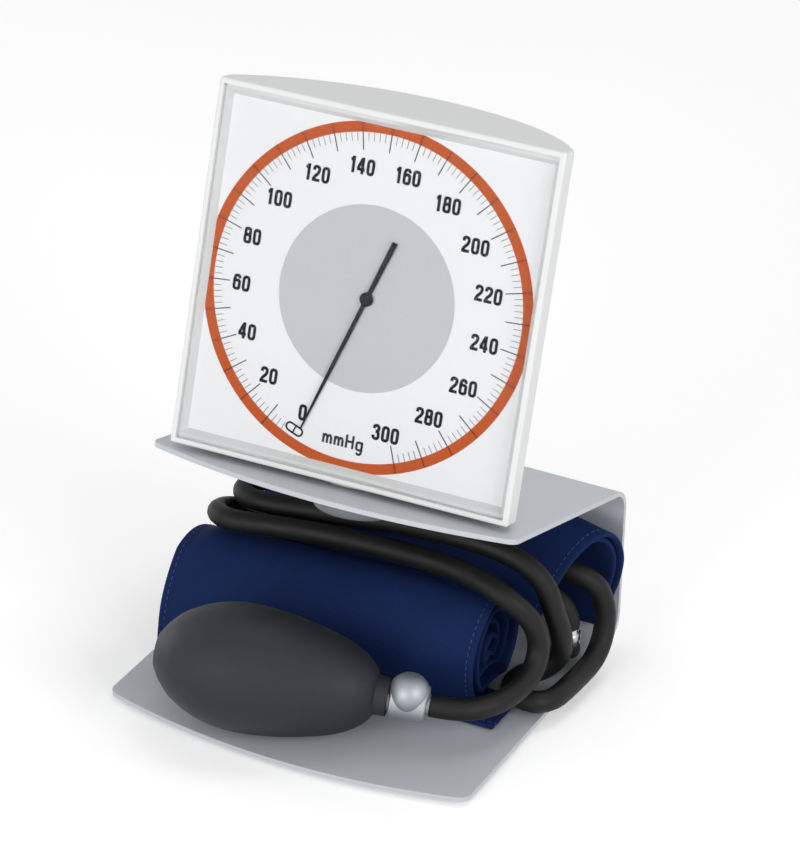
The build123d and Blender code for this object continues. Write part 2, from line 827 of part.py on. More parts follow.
def egg(shrink, end):
    """Half outline of the bulb, drawn inside its outer one by a wall: blind end, taper, neck."""
    with BuildLine() as half:
        Spline(
            (shrink - bulb_front, 0),
            (-0.7 * bulb_front, 0.714 * bulb_radius - shrink),
            (0, bulb_radius - shrink),
            (0.32 * bulb_back, 0.94 * bulb_radius - shrink),
            (0.64 * bulb_back, 0.77 * bulb_radius - shrink),
            (0.87 * bulb_back, 0.47 * bulb_radius - shrink),
            (bulb_back - 2, bulb_neck - shrink),
            tangents=[(0, 1), (1, -0.7)],
        )
        Polyline(
            (bulb_back - 2, bulb_neck - shrink),
            (end, bulb_neck - shrink),
            (end, 0),
            (shrink - bulb_front, 0),
        )
    make_face(half.edges())


with BuildPart() as bulb:
    with BuildSketch(bulb_plane):
        egg(0, bulb_back)
    revolve(axis=Axis(bulb_centre, bulb_axis))
    with BuildSketch(bulb_plane):
        egg(bulb_wall, bulb_back + 1)
    revolve(axis=Axis(bulb_centre, bulb_axis), mode=Mode.SUBTRACT)
    blind_end = Plane(origin=bulb_centre - bulb_axis * (bulb_front + 1), z_dir=bulb_axis)
    with BuildSketch(blind_end):
        Circle(bulb_neck - bulb_wall)
    extrude(amount=3 * bulb_wall, mode=Mode.SUBTRACT)
save(bulb.part, "bulb")

# Air-inlet valve pressed in the bulb's blind end
inlet_radius = bulb_neck - bulb_wall
with BuildPart() as inlet_valve:
    with BuildSketch(blind_end.offset(1.5)):
        Circle(inlet_radius - fit_gap)
        with PolarLocations(inlet_radius / 2, 4):
            Circle(0.8, mode=Mode.SUBTRACT)
    extrude(amount=8)
save(inlet_valve.part, "inlet_valve")

# Release valve: upright metal body with a spigot in the neck and an outlet for the hose
valve_centre = bulb_centre + bulb_axis * (bulb_back + knob_radius + 2 * seat_gap)
body_low = valve_centre.Z - valve_below
body_high = valve_centre.Z + valve_above
hose_start = valve_radius + 3.3
valve_foot = Plane(origin=(valve_centre.X, valve_centre.Y, body_low))
valve_top = Plane(origin=(valve_centre.X, valve_centre.Y, body_high))
with BuildPart() as valve_body:
    with BuildSketch(valve_foot):
        Circle(valve_radius)
    extrude(amount=body_high - body_low)
    chamfer(valve_body.faces().sort_by(Axis.Z)[0].edges(), 0.8)
    with BuildSketch(Plane(origin=bulb_centre + bulb_axis * (bulb_back - 9), z_dir=bulb_axis)):
        Circle(bulb_neck - bulb_wall - fit_gap)
    extrude(amount=9 + valve_radius)
    with BuildSketch(Plane(origin=bulb_centre + bulb_axis * bulb_back, z_dir=bulb_axis)):
        Circle(bulb_neck - 1)
    extrude(amount=valve_radius)
    with BuildSketch(Plane(origin=valve_centre, z_dir=bulb_axis)):
        Circle(0.8 * collar_radius)
    extrude(amount=hose_start)
    with BuildSketch(valve_top):
        Circle(knob_radius + seat_gap)
    extrude(amount=2 * valve_radius, mode=Mode.SUBTRACT)
    with BuildSketch(valve_top):
        Circle(stem_radius + fit_gap)
    extrude(amount=-5, mode=Mode.SUBTRACT)
save(valve_body.part, "valve_body")

# Domed thumb knob of the release valve, with its needle stem
knob_centre = body_high + seat_gap + knob_low
knob_plane = Plane(
    origin=(valve_centre.X, valve_centre.Y, knob_centre), x_dir=(1, 0, 0), z_dir=(0, -1, 0)
)
with BuildPart() as valve_knob:
    with BuildSketch(knob_plane):
        with BuildLine():
            dome = ThreePointArc(
                (0, knob_radius),
                (knob_radius * cos(pi / 6), knob_radius * sin(pi / 6)),
                (sqrt(knob_radius**2 - knob_low**2), -knob_low),
            )
            Polyline(dome @ 1, (0, -knob_low), dome @ 0)
        make_face()
    revolve(axis=Axis((valve_centre.X, valve_centre.Y, 0), (0, 0, 1)))
    with BuildSketch(valve_top):
        Circle(stem_radius)
    extrude(amount=seat_gap + 1)
    with BuildSketch(valve_top):
        Circle(stem_radius)
    extrude(amount=-4.5)
save(valve_knob.part, "valve_knob")

def hose(points, name):
    """A round hose along straight runs joined by tangent arcs, whose radii it prints."""
    route = [Vector(*point) for point in points]
    radii = []
    for a, b, c in zip(route, route[1:], route[2:]):
        half_turn = radians((b - a).get_angle(c - b)) / 2
        radii.append(0.45 * min((b - a).length, (c - b).length) / tan(half_turn))
    with BuildPart() as tube:
        with BuildLine() as line:
            FilletPolyline(*route, radius=radii)
        with BuildSketch(Plane(origin=line.line @ 0, z_dir=line.line % 0)):
            Circle(hose_radius)
        sweep()
    wire = line.wires()[0]
    length = wire.length
    share = tube.part.volume / (pi * hose_radius**2 * length)
    print(name, "length", round(length), "volume share", round(share, 3))
    print(name, "bend radii", [round(radius, 1) for radius in radii])
    save(tube.part, name)
    return [wire @ (k / 400) for k in range(401)]


# Routes of the two hoses, chosen by hand: points in millimetres from where each one starts
valve_nozzle = valve_centre + bulb_axis * hose_start
bulb_route = [
    tuple(valve_nozzle),
    tuple(valve_nozzle + bulb_axis * 9),
    (71.5, -21.0, 22.0),
    (75.5, -6.0, 22.0),
    (76.5, 6.0, 25.5),
    (76.0, 11.5, 35.0),
    (74.0, 8.0, 46.0),
    (68.0, 3.0, 55.0),
    (58.0, 3.0, 59.5),
    (40.0, 8.0, 60.5),
    (12.0, 10.0, 59.5),
    (-18.0, 11.0, 57.5),
    (-42.0, 9.0, 56.0),
    (-57.0, 6.5, 55.0),
    (-66.0, 6.5, 54.8),
    (-71.5, 12.0, 53.7),
    (-71.5, 20.5, 51.2),
    (-67.0, 27.0, 48.6),
    (-57.0, 30.0, 49.0),
    (-46.0, 30.0, 52.0),
    (-34.0, 30.0, 52.8),
]
outlet_end = swivel_plane.from_local_coords(Vector(0, cup_radius + 4, hose_height))
outlet_next = swivel_plane.from_local_coords(Vector(0, cup_radius + 14, hose_height))
gauge_route = [
    tuple(outlet_end),
    tuple(outlet_next),
    (-5.0, 35.5, 74.5),
    (-20.0, 40.0, 70.5),
    (-38.0, 38.5, 65.5),
    (-51.0, 37.5, 61.5),
    (-60.0, 36.0, 59.8),
    (-66.0, 30.5, 59.0),
    (-66.0, 23.5, 58.8),
    (-60.0, 19.0, 58.8),
    (-50.0, 18.8, 59.2),
    (-36.0, 20.0, 60.2),
    (-8.0, 20.5, 64.0),
    (20.0, 20.5, 67.0),
    (45.0, 20.0, 67.5),
    (62.0, 20.5, 64.5),
    (72.5, 21.0, 57.0),
    (76.5, 22.0, 45.0),
    (79.0, 26.0, 32.0),
    (77.5, 30.0, 20.0),
    (71.5, 28.0, 12.5),
    (65.8, 22.0, 12.0),
    (64.0, 14.0, 12.2),
    (65.6, 7.5, 12.2),
    (71.5, 3.8, 12.0),
    (78.4, 5.2, 11.0),
    (82.6, 12.0, 10.0),
    (83.2, 24.0, 9.3),
    (83.8, 37.0, 9.3),
    (84.2, 48.0, 10.0),
    (84.0, 57.0, 17.0),
    (83.0, 59.5, 29.0),
    (79.5, 57.0, 40.0),
    (69.0, 53.0, 45.0),
    (50.0, 52.0, 46.0),
    (26.0, 53.5, 45.0),
    (9.7, 54.0, 45.0),
    (3.5, 50.8, 39.7),
    (3.5, 46.2, 32.3),
    (9.7, 43.0, 27.0),
    (24.0, 42.5, 27.5),
    (44.0, 41.5, 34.0),
    (60.0, 42.0, 38.0),
    (69.0, 43.0, 36.5),
    (73.0, 44.5, 30.0),
    (73.4, 45.2, 24.0),
]
bulb_line = hose(bulb_route, "bulb_hose")
gauge_line = hose(gauge_route, "gauge_hose")
own_gap = min((a - b).length for k, a in enumerate(gauge_line) for b in gauge_line[k + 24 :])
cross_gap = min((a - b).length for a in bulb_line for b in gauge_line)
print("gap of the gauge hose to itself", round(own_gap - 2 * hose_radius, 2))
print("gap between the two hoses", round(cross_gap - 2 * hose_radius, 2))

# Rubber port of the cuff's bladder, standing on the roll where the bulb hose ends
port_end = Vector(*bulb_route[-1])
port_way = (port_end - Vector(*bulb_route[-2])).normalized()
port_foot = 40.0
port_corner = port_end + port_way * 10
with BuildPart() as bladder_port:
    with BuildLine() as port_line:
        FilletPolyline(
            port_end,
            port_corner,
            (port_corner.X, port_corner.Y, port_foot),
            radius=6,
        )
    with BuildSketch(Plane(origin=port_line.line @ 0, z_dir=port_line.line % 0)):
        Circle(collar_radius)
    sweep()
save(bladder_port.part, "bladder_port")

# Metal connector at the end of the gauge hose
connector_length = 8.0
connector_top = Vector(*gauge_route[-1])
connector_way = (connector_top - Vector(*gauge_route[-2])).normalized()
connector_plane = Plane(origin=connector_top, z_dir=connector_way)
with BuildPart() as hose_connector:
    with BuildSketch(connector_plane):
        Circle(hose_radius - 0.6)
    extrude(amount=connector_length)
    with BuildSketch(connector_plane.offset(0.4 * connector_length)):
        Circle(hose_radius)
    extrude(amount=0.3 * connector_length)
save(hose_connector.part, "hose_connector")

# Bladder's own rubber tube, from the connector into the hanging end of the cuff
connector_end = connector_top + connector_way * connector_length
with BuildPart() as bladder_tube:
    with BuildLine() as tail_route:
        FilletPolyline(
            tuple(connector_end),
            tuple(connector_end + connector_way * 5),
            (68.0, 58.0, 9.5),
            (62.0, 72.0, 11.5),
            radius=5,
        )
    with BuildSketch(Plane(origin=tail_route.line @ 0, z_dir=tail_route.line % 0)):
        Circle(hose_radius - 0.6)
    sweep()
save(bladder_tube.part, "bladder_tube")

# Cuff: a loose roll resting on its own end flap, with the last turns thrown up over the roll
# and hanging down inside the back wall
cloth_bottom = base_top + seat_gap
roll_bottom = cloth_bottom + cuff_cloth - seat_gap
left_roll = ((-27, roll_bottom), (-21, 33.0), (-3, 47.4), (29.3, 36.0), (31.0, roll_bottom))
right_roll = ((-4.5, roll_bottom), (-13.5, 29.0), (9.5, 54.0), (35.5, 32.0), (23.5, roll_bottom))


def across(x, y=0.0, z=0.0):
    """A plane across the stand, facing right, its local axes running back and up."""
    return Plane(origin=(x, y, z), x_dir=(0, 1, 0), z_dir=(1, 0, 0))


def spiral(plane, radius, turns, depth):
    """Cut a spiral slit of half-turn arcs into an end of the roll."""
    step = radius / (2 * turns + 1)
    with BuildSketch(plane) as slit:
        with BuildLine() as line:
            for k in range(2 * turns):
                side = 1 if k % 2 == 0 else -1
                reach = radius - k * step
                middle = (side * step / 2, side * (step / 2 - reach))
                ThreePointArc((side * reach, 0), middle, (side * (step - reach), 0))
            offset(amount=cuff_groove / 2, side=Side.BOTH)
        make_face(line.edges())
    extrude(slit.sketch, amount=depth, mode=Mode.SUBTRACT)


with BuildPart() as cuff:
    for x, ring in ((cuff_left, left_roll), (cuff_right, right_roll)):
        with BuildSketch(across(x)):
            with BuildLine():
                ThreePointArc(ring[0], ring[1], ring[2])
                ThreePointArc(ring[2], ring[3], ring[4])
                Line(ring[4], ring[0])
            make_face()
    loft()
    spiral(across(cuff_right, 11.5, 29.5), 20.0, 3, -groove_depth)
    spiral(across(cuff_left, 4.0, 24.5), 15.5, 2, groove_depth)
    with BuildSketch(across(tail_left)):
        with BuildLine():
            FilletPolyline((26, 39), (60.5, 62), (73, 11), radius=9)
            offset(amount=tail_thick / 2, side=Side.BOTH)
        make_face()
    extrude(amount=tail_right - tail_left)
    with BuildSketch(Plane.XY.offset(cloth_bottom)):
        with Locations((flap_left, 0)):
            Rectangle(flap_right - flap_left, 26, align=(Align.MIN, Align.CENTER))
    extrude(amount=cuff_cloth)
    add(bladder_port.part, mode=Mode.SUBTRACT)
    add(bladder_tube.part, mode=Mode.SUBTRACT)
save(cuff.part, "cuff")
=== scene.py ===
"""Looks of the desk sphygmomanometer: finishes, dial print, cloth cuff, bulb and hoses."""
from math import ceil, cos, pi, radians, sin, sqrt

import bmesh
import bpy
from mathutils import Matrix, Vector, noise


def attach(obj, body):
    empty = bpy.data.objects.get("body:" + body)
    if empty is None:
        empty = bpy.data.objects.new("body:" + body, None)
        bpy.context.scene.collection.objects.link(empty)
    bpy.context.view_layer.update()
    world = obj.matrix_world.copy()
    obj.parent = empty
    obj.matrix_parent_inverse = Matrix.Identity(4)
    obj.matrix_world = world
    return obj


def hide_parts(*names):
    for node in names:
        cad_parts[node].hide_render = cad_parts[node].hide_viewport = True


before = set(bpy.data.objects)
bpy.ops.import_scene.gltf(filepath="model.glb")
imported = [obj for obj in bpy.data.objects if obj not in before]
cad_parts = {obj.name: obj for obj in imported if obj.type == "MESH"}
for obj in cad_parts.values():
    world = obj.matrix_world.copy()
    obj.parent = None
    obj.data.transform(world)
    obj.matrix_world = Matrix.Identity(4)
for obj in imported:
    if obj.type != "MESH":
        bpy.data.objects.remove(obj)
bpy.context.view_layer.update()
mm = 0.001

# Camera at the photograph's place and angle; the photograph is 800 by 844
camera_data = bpy.data.cameras.new("photo_camera")
camera_data.sensor_width = 36
camera_data.lens = 174.3
camera_data.clip_end = 20
camera = bpy.data.objects.new("photo_camera", camera_data)
bpy.context.collection.objects.link(camera)
camera_right = Vector((0.89010, 0.45509, 0.02487))
camera_up = Vector((-0.23685, 0.41525, 0.87833))
camera_back = camera_right.cross(camera_up)
camera_turn = Matrix((camera_right, camera_up, camera_back)).transposed().to_4x4()
camera.matrix_world = Matrix.Translation((0.6365, -1.2533, 0.8837)) @ camera_turn
bpy.context.scene.camera = camera
bpy.context.scene.view_settings.view_transform = "Standard"


def linear(colour):
    """A colour written as sRGB hex, as the linear numbers that a shader takes."""
    levels = [int(colour[k : k + 2], 16) / 255 for k in (1, 3, 5)]
    return [v / 12.92 if v < 0.04045 else ((v + 0.055) / 1.055) ** 2.4 for v in levels] + [1.0]


def node(tree, kind, inputs=None, **settings):
    """Add one node. An input is a plain value, or another node's output to be linked."""
    new = tree.nodes.new(kind)
    for name, value in settings.items():
        setattr(new, name, value)
    for name, value in (inputs or {}).items():
        if isinstance(value, bpy.types.NodeSocket):
            tree.links.new(value, new.inputs[name])
        else:
            new.inputs[name].default_value = value
    return new


def maths(tree, operation, *values):
    """The output of one node that calculates."""
    return node(tree, "ShaderNodeMath", dict(enumerate(values)), operation=operation).outputs[0]


def finish(name, colour, inputs):
    """A material of one shader, whose constant settings are written on its own sockets."""
    material = bpy.data.materials.new(name)
    material.use_nodes = True
    material.diffuse_color = linear(colour)
    shader = material.node_tree.nodes["Principled BSDF"]
    shader.inputs["Base Color"].default_value = linear(colour)
    for socket, value in inputs.items():
        shader.inputs[socket].default_value = value
    return material


def feed(tree, output, socket):
    """Link an output to a socket of the material's shader."""
    tree.links.new(output, tree.nodes["Principled BSDF"].inputs[socket])


def two_toned(tree, factor, low, high):
    """Colour the shader between two tones. The mix node's colour sockets are 6, 7 and 2."""
    tones = {"Factor": factor, 6: linear(low), 7: linear(high)}
    mix = node(tree, "ShaderNodeMix", tones, data_type="RGBA")
    feed(tree, mix.outputs[2], "Base Color")


def speckle(tree, place, size_mm, detail):
    """Noise whose patches are about a size across."""
    inputs = {"Vector": place, "Scale": 1000 / size_mm, "Detail": detail}
    return node(tree, "ShaderNodeTexNoise", inputs).outputs["Fac"]


def relief(tree, height, height_mm, strength):
    """Bend the shader's normal as a surface that deep would."""
    inputs = {"Height": height, "Distance": height_mm * mm, "Strength": strength}
    feed(tree, node(tree, "ShaderNodeBump", inputs).outputs["Normal"], "Normal")


def cloudy(material, patch_mm, tones, roughness):
    """Soft patches of two near tones and two gloss levels, as handling and moulding leave."""
    tree = material.node_tree
    place = node(tree, "ShaderNodeTexCoord").outputs["Object"]
    patches = speckle(tree, place, patch_mm, 4.0)
    two_toned(tree, patches, *tones)
    inputs = {"Value": patches, "From Min": 0.3, "From Max": 0.7}
    inputs["To Min"], inputs["To Max"] = roughness
    feed(tree, node(tree, "ShaderNodeMapRange", inputs).outputs["Result"], "Roughness")


def pebbled(material, grain_mm, height_mm, stretch=(1, 1, 1)):
    """A fine bump of rounded grains; stretch below one draws them out along that axis."""
    tree = material.node_tree
    place = node(tree, "ShaderNodeTexCoord").outputs["Object"]
    drawn = node(tree, "ShaderNodeMapping", {"Vector": place, "Scale": stretch})
    relief(tree, speckle(tree, drawn.outputs["Vector"], grain_mm, 2.0), height_mm, 1.0)


def woven(material, thread_mm, height_mm, warp_colour, weft_colour):
    """Plain weave along the cloth's own lengths, which its map holds in metres."""
    tree = material.node_tree
    place = node(tree, "ShaderNodeTexCoord").outputs["UV"]
    threads = []
    for direction in ("X", "Y"):
        inputs = {"Vector": place, "Scale": 100 * pi / thread_mm, "Distortion": 0.4}
        wave = node(
            tree, "ShaderNodeTexWave", inputs, wave_type="BANDS", bands_direction=direction
        )
        threads.append(wave.outputs["Fac"])
    cloth = maths(tree, "MULTIPLY", *threads)
    slub_length = 14
    slubs = speckle(tree, place, slub_length, 3.0)
    two_toned(tree, maths(tree, "MULTIPLY", cloth, slubs), warp_colour, weft_colour)
    relief(tree, cloth, height_mm, 0.7)


# Powder-coated sheet steel: an even satin skin with a faint orange peel about 1.5 mm across
powder_coat = finish(
    "powder_coated_steel", "#C2C6CB", {"Roughness": 0.4, "IOR": 1.5, "Specular IOR Level": 0.45}
)
cloudy(powder_coat, 60, ("#BFC3C8", "#C5C9CE"), (0.36, 0.46))
pebbled(powder_coat, 1.5, 0.02)

# Moulded ABS: warm white and satin, with the spark-eroded grain of its mould
moulded_abs = finish("moulded_abs", "#E6E8E7", {"IOR": 1.54, "Specular IOR Level": 0.4})
cloudy(moulded_abs, 45, ("#E2E4E3", "#E8EAE9"), (0.42, 0.52))
pebbled(moulded_abs, 0.7, 0.012)

# The frame round the dial is the same plastic off a smoother tool
frame_abs = finish("smooth_abs", "#DDE0E0", {"IOR": 1.54, "Specular IOR Level": 0.4})
cloudy(frame_abs, 30, ("#D9DCDC", "#E1E4E4"), (0.3, 0.4))
pebbled(frame_abs, 1.2, 0.006)

# Dial sheet: aluminium under baked white enamel, smooth, with a trace of roller texture
dial_enamel = finish("white_enamelled_sheet", "#FAFBFD", {"IOR": 1.5, "Specular IOR Level": 0.3})
cloudy(dial_enamel, 40, ("#F8F9FC", "#FCFCFE"), (0.45, 0.55))
pebbled(dial_enamel, 0.8, 0.004)


def printing_ink(name, colour, tones, patch_mm=6, roughness=(0.5, 0.6)):
    """Screen-printing ink: flat and opaque, slightly uneven where the squeegee lifted."""
    ink = finish(name, colour, {"IOR": 1.48, "Specular IOR Level": 0.2})
    cloudy(ink, patch_mm, tones, roughness)
    return ink


broad_ink = (0.55, 0.65)
ring_ink = printing_ink("orange_ink", "#C8571B", ("#C45318", "#CC5B1E"), 12, broad_ink)
crossing_ink = printing_ink("dark_ink_on_orange", "#7C2F12", ("#742B10", "#843415"), 6, broad_ink)
disc_ink = printing_ink("grey_ink", "#CDD0D3", ("#CBCED1", "#CFD2D5"), 14, broad_ink)
black_ink = printing_ink("black_ink", "#0C0D10", ("#0A0B0E", "#101114"))
fine_ink = printing_ink("thin_grey_ink", "#7E8185", ("#777A7E", "#888B8F"))
long_ink = printing_ink("dark_grey_ink", "#47494D", ("#414347", "#4E5054"))
unit_ink = printing_ink("soft_black_ink", "#33353A", ("#2F3136", "#393B40"))

# Window: clear acrylic sheet, seen only by its gloss and a faint haze of wiping marks
acrylic = finish("clear_acrylic", "#4C5054", {"IOR": 1.49, "Alpha": 0.05, "Roughness": 0.05})
acrylic.surface_render_method = "BLENDED"
pebbled(acrylic, 25, 0.003)

# Pointer: stamped aluminium, dull black lacquer
pointer_lacquer = finish("black_lacquer", "#08090B", {"IOR": 1.5, "Specular IOR Level": 0.2})
cloudy(pointer_lacquer, 8, ("#070809", "#0D0E10"), (0.45, 0.6))

# Clock brass: yellow, rolled one way, so its grain is fine and drawn out
clock_brass = finish("rolled_brass", "#C29A4A", {"Metallic": 1.0})
cloudy(clock_brass, 9, ("#B98F40", "#CBA457"), (0.24, 0.38))
pebbled(clock_brass, 0.3, 0.004, stretch=(0.1, 1, 1))

# Chrome plating on a tumbled casting: bright, but softened, so its edges stay pale grey
satin_chrome = finish("satin_chrome", "#D9DBDF", {"Metallic": 1.0})
cloudy(satin_chrome, 7, ("#D2D5D9", "#E2E4E7"), (0.2, 0.32))
pebbled(satin_chrome, 0.9, 0.006)

# The valve is plated on a blasted casting, so it stays matt
matt_chrome = finish("matt_chrome", "#A2A6AC", {"Metallic": 1.0})
cloudy(matt_chrome, 7, ("#9CA0A6", "#A8ACB1"), (0.5, 0.6))
pebbled(matt_chrome, 0.7, 0.008)

# Zinc-plated steel, faintly brushed
zinc_steel = finish("zinc_plated_steel", "#B4B8BC", {"Metallic": 1.0})
cloudy(zinc_steel, 6, ("#A7ABB0", "#BEC2C6"), (0.28, 0.42))
pebbled(zinc_steel, 0.4, 0.005, stretch=(1, 0.15, 1))

# Spring bronze of the hairspring: drawn thin, warm and bright
spring_bronze = finish("spring_bronze", "#A8783A", {"Metallic": 1.0})
cloudy(spring_bronze, 5, ("#9C6E33", "#B58546"), (0.22, 0.34))

# Soft PVC of the bulb: charcoal, matt and slightly greasy from hands
bulb_pvc = finish("soft_pvc", "#26282D", {"IOR": 1.5, "Specular IOR Level": 0.35})
cloudy(bulb_pvc, 26, ("#1E2025", "#25272C"), (0.55, 0.68))
pebbled(bulb_pvc, 0.8, 0.02)

# Extruded latex-free rubber of the hoses: black, with a chalky bloom on it
hose_rubber = finish("extruded_rubber", "#0E0F0F", {"IOR": 1.52, "Specular IOR Level": 0.25})
cloudy(hose_rubber, 11, ("#0C0D0D", "#141513"), (0.48, 0.62))
pebbled(hose_rubber, 0.9, 0.025)

# Rubber of the feet and short tubes, dull; nylon of the slip washer, waxy, and of the swivel, grey
foot_rubber = finish("moulded_rubber", "#1B1C1D", {"IOR": 1.52, "Specular IOR Level": 0.35})
cloudy(foot_rubber, 8, ("#18191A", "#232425"), (0.7, 0.8))
pebbled(foot_rubber, 0.5, 0.03)
natural_nylon = finish("natural_nylon", "#E8E4D8", {"IOR": 1.53, "Specular IOR Level": 0.4})
cloudy(natural_nylon, 10, ("#E3DFD2", "#ECE8DD"), (0.4, 0.5))
swivel_plastic = finish("glass_filled_nylon", "#74787D", {"IOR": 1.53, "Specular IOR Level": 0.4})
cloudy(swivel_plastic, 9, ("#6E7277", "#7A7E83"), (0.5, 0.65))
pebbled(swivel_plastic, 0.6, 0.02)

# Cuff: navy nylon oxford; its 0.5 mm threads are drawn at 0.8 mm so that the weave shows
navy_nylon = finish(
    "navy_nylon_weave",
    "#1C2B5A",
    {
        "Roughness": 0.7,
        "IOR": 1.53,
        "Specular IOR Level": 0.06,
        "Sheen Weight": 0.07,
        "Sheen Roughness": 0.45,
        "Sheen Tint": linear("#5C7BC8"),
    },
)
woven(navy_nylon, 0.8, 0.06, "#16254C", "#1F3570")

# Thread of the hems, a shade lighter than the cloth
stitch_thread = finish("navy_thread", "#2C3C72", {"IOR": 1.53, "Specular IOR Level": 0.3})
cloudy(stitch_thread, 3, ("#27366A", "#31427A"), (0.5, 0.6))

node_finishes = (
    (powder_coat, ["stand_plate"]),
    (foot_rubber, ["foot_pads", "bladder_port", "bladder_tube", "seal_ring", "inner_tube"]),
    (natural_nylon, ["slip_washer"]),
    (swivel_plastic, ["swivel_cup", "cup_cap"]),
    (satin_chrome, ["hose_outlet", "hose_connector", "inlet_valve"]),
    (moulded_abs, ["housing_shell"]),
    (frame_abs, ["bevel_frame"]),
    (acrylic, ["front_window"]),
    (dial_enamel, ["dial_plate"]),
    (spring_bronze, ["hairspring"]),
    (zinc_steel, ["cup_screws", "swivel_spindle", "spindle_clip", "back_screws"]),
    (zinc_steel, ["pointer_arbor", "sector_arbor", "rocker_shaft", "capsule_pin"]),
    (clock_brass, ["dial_posts", "movement_front_plate", "movement_rear_plate"]),
    (clock_brass, ["movement_pillars", "capsule_bracket", "capsule_pillars", "sector_gear"]),
    (clock_brass, ["pressure_capsule", "capsule_nut", "air_elbow", "spindle_nut"]),
)
for material, names in node_finishes:
    for name in names:
        node_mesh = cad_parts[name].data
        node_mesh.materials.clear()
        node_mesh.materials.append(material)


def new_piece(name, mesh, material, body):
    """Put a finished mesh in the scene as one piece that rides on a body."""
    piece = bpy.data.objects.new(name, mesh)
    bpy.context.collection.objects.link(piece)
    if material.name not in mesh.materials:
        mesh.materials.append(material)
    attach(piece, body)
    return piece


def plain_mesh(name, points, faces, smooth=True):
    """A mesh from its points and faces, with its normals turned outwards."""
    mesh = bpy.data.meshes.new(name)
    mesh.from_pydata(points, [], faces)
    work = bmesh.new()
    work.from_mesh(mesh)
    bmesh.ops.remove_doubles(work, verts=work.verts, dist=1e-7)
    bmesh.ops.recalc_face_normals(work, faces=work.faces)
    work.to_mesh(mesh)
    work.free()
    mesh.polygons.foreach_set("use_smooth", [smooth] * len(mesh.polygons))
    return mesh


def smooth_line(points, steps):
    """A curve through the points, evenly stepped between each two of them."""
    points = [Vector(point) for point in points]
    ends = [2 * points[0] - points[1]] + points + [2 * points[-1] - points[-2]]
    line = []
    for a, b, c, d in zip(ends, ends[1:], ends[2:], ends[3:]):
        for k in range(steps):
            t = k / steps
            line.append(
                0.5
                * (
                    2 * b
                    + (c - a) * t
                    + (2 * a - 5 * b + 4 * c - d) * t * t
                    + (3 * b - a - 3 * c + d) * t**3
                )
            )
    return line + [points[-1]]


# Hoses, along the routes of the part's source
hose_width = 9.0
bulb_route = [
    (53.445, -33.374, 22.688),
    (62.018, -30.786, 21.794),
    (71.5, -21.0, 22.0),
    (75.5, -6.0, 22.0),
    (76.5, 6.0, 25.5),
    (76.0, 11.5, 35.0),
    (74.0, 8.0, 46.0),
    (68.0, 3.0, 55.0),
    (58.0, 3.0, 59.5),
    (40.0, 8.0, 60.5),
    (12.0, 10.0, 59.5),
    (-18.0, 11.0, 57.5),
    (-42.0, 9.0, 56.0),
    (-57.0, 6.5, 55.0),
    (-66.0, 6.5, 54.8),
    (-71.5, 12.0, 53.7),
    (-71.5, 20.5, 51.2),
    (-67.0, 27.0, 48.6),
    (-57.0, 30.0, 49.0),
    (-46.0, 30.0, 52.0),
    (-34.0, 30.0, 52.8),
]
gauge_route = [
    (0.0, 14.496, 80.873),
    (0.0, 24.133, 78.201),
    (-5.0, 35.5, 74.5),
    (-20.0, 40.0, 70.5),
    (-38.0, 38.5, 65.5),
    (-51.0, 37.5, 61.5),
    (-60.0, 36.0, 59.8),
    (-66.0, 30.5, 59.0),
    (-66.0, 23.5, 58.8),
    (-60.0, 19.0, 58.8),
    (-50.0, 18.8, 59.2),
    (-36.0, 20.0, 60.2),
    (-8.0, 20.5, 64.0),
    (20.0, 20.5, 67.0),
    (45.0, 20.0, 67.5),
    (62.0, 20.5, 64.5),
    (72.5, 21.0, 57.0),
    (76.5, 22.0, 45.0),
    (79.0, 26.0, 32.0),
    (77.5, 30.0, 20.0),
    (71.5, 28.0, 12.5),
    (65.8, 22.0, 12.0),
    (64.0, 14.0, 12.2),
    (65.6, 7.5, 12.2),
    (71.5, 3.8, 12.0),
    (78.4, 5.2, 11.0),
    (82.6, 12.0, 10.0),
    (83.2, 24.0, 9.3),
    (83.8, 37.0, 9.3),
    (84.2, 48.0, 10.0),
    (84.0, 57.0, 17.0),
    (83.0, 59.5, 29.0),
    (79.5, 57.0, 40.0),
    (69.0, 53.0, 45.0),
    (50.0, 52.0, 46.0),
    (26.0, 53.5, 45.0),
    (9.7, 54.0, 45.0),
    (3.5, 50.8, 39.7),
    (3.5, 46.2, 32.3),
    (9.7, 43.0, 27.0),
    (24.0, 42.5, 27.5),
    (44.0, 41.5, 34.0),
    (60.0, 42.0, 38.0),
    (69.0, 43.0, 36.5),
    (73.0, 44.5, 30.0),
    (73.4, 45.2, 24.0),
]


def lay_hose(name, cad_node, route, push):
    """A round rubber hose as one smooth spline, pushed a little further on at its start."""
    start = Vector(route[0]) + (Vector(route[0]) - Vector(route[1])).normalized() * push
    route = [tuple(start)] + route[1:]
    curve = bpy.data.curves.new(name, "CURVE")
    curve.dimensions = "3D"
    curve.resolution_u = 6
    curve.bevel_depth = hose_width / 2 * mm
    curve.bevel_resolution = 5
    curve.use_fill_caps = True
    spline = curve.splines.new("NURBS")
    spline.points.add(len(route) - 1)
    for point, (x, y, z) in zip(spline.points, route):
        point.co = (x * mm, y * mm, z * mm, 1)
    spline.order_u = 3
    spline.use_endpoint_u = True
    spline.use_smooth = True
    curve.materials.append(hose_rubber)
    piece = bpy.data.objects.new(name, curve)
    bpy.context.collection.objects.link(piece)
    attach(piece, "stand")
    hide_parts(cad_node)


lay_hose("rubber_bulb_hose", "bulb_hose", bulb_route, 3.1)
lay_hose("rubber_gauge_hose", "gauge_hose", gauge_route, 0.0)

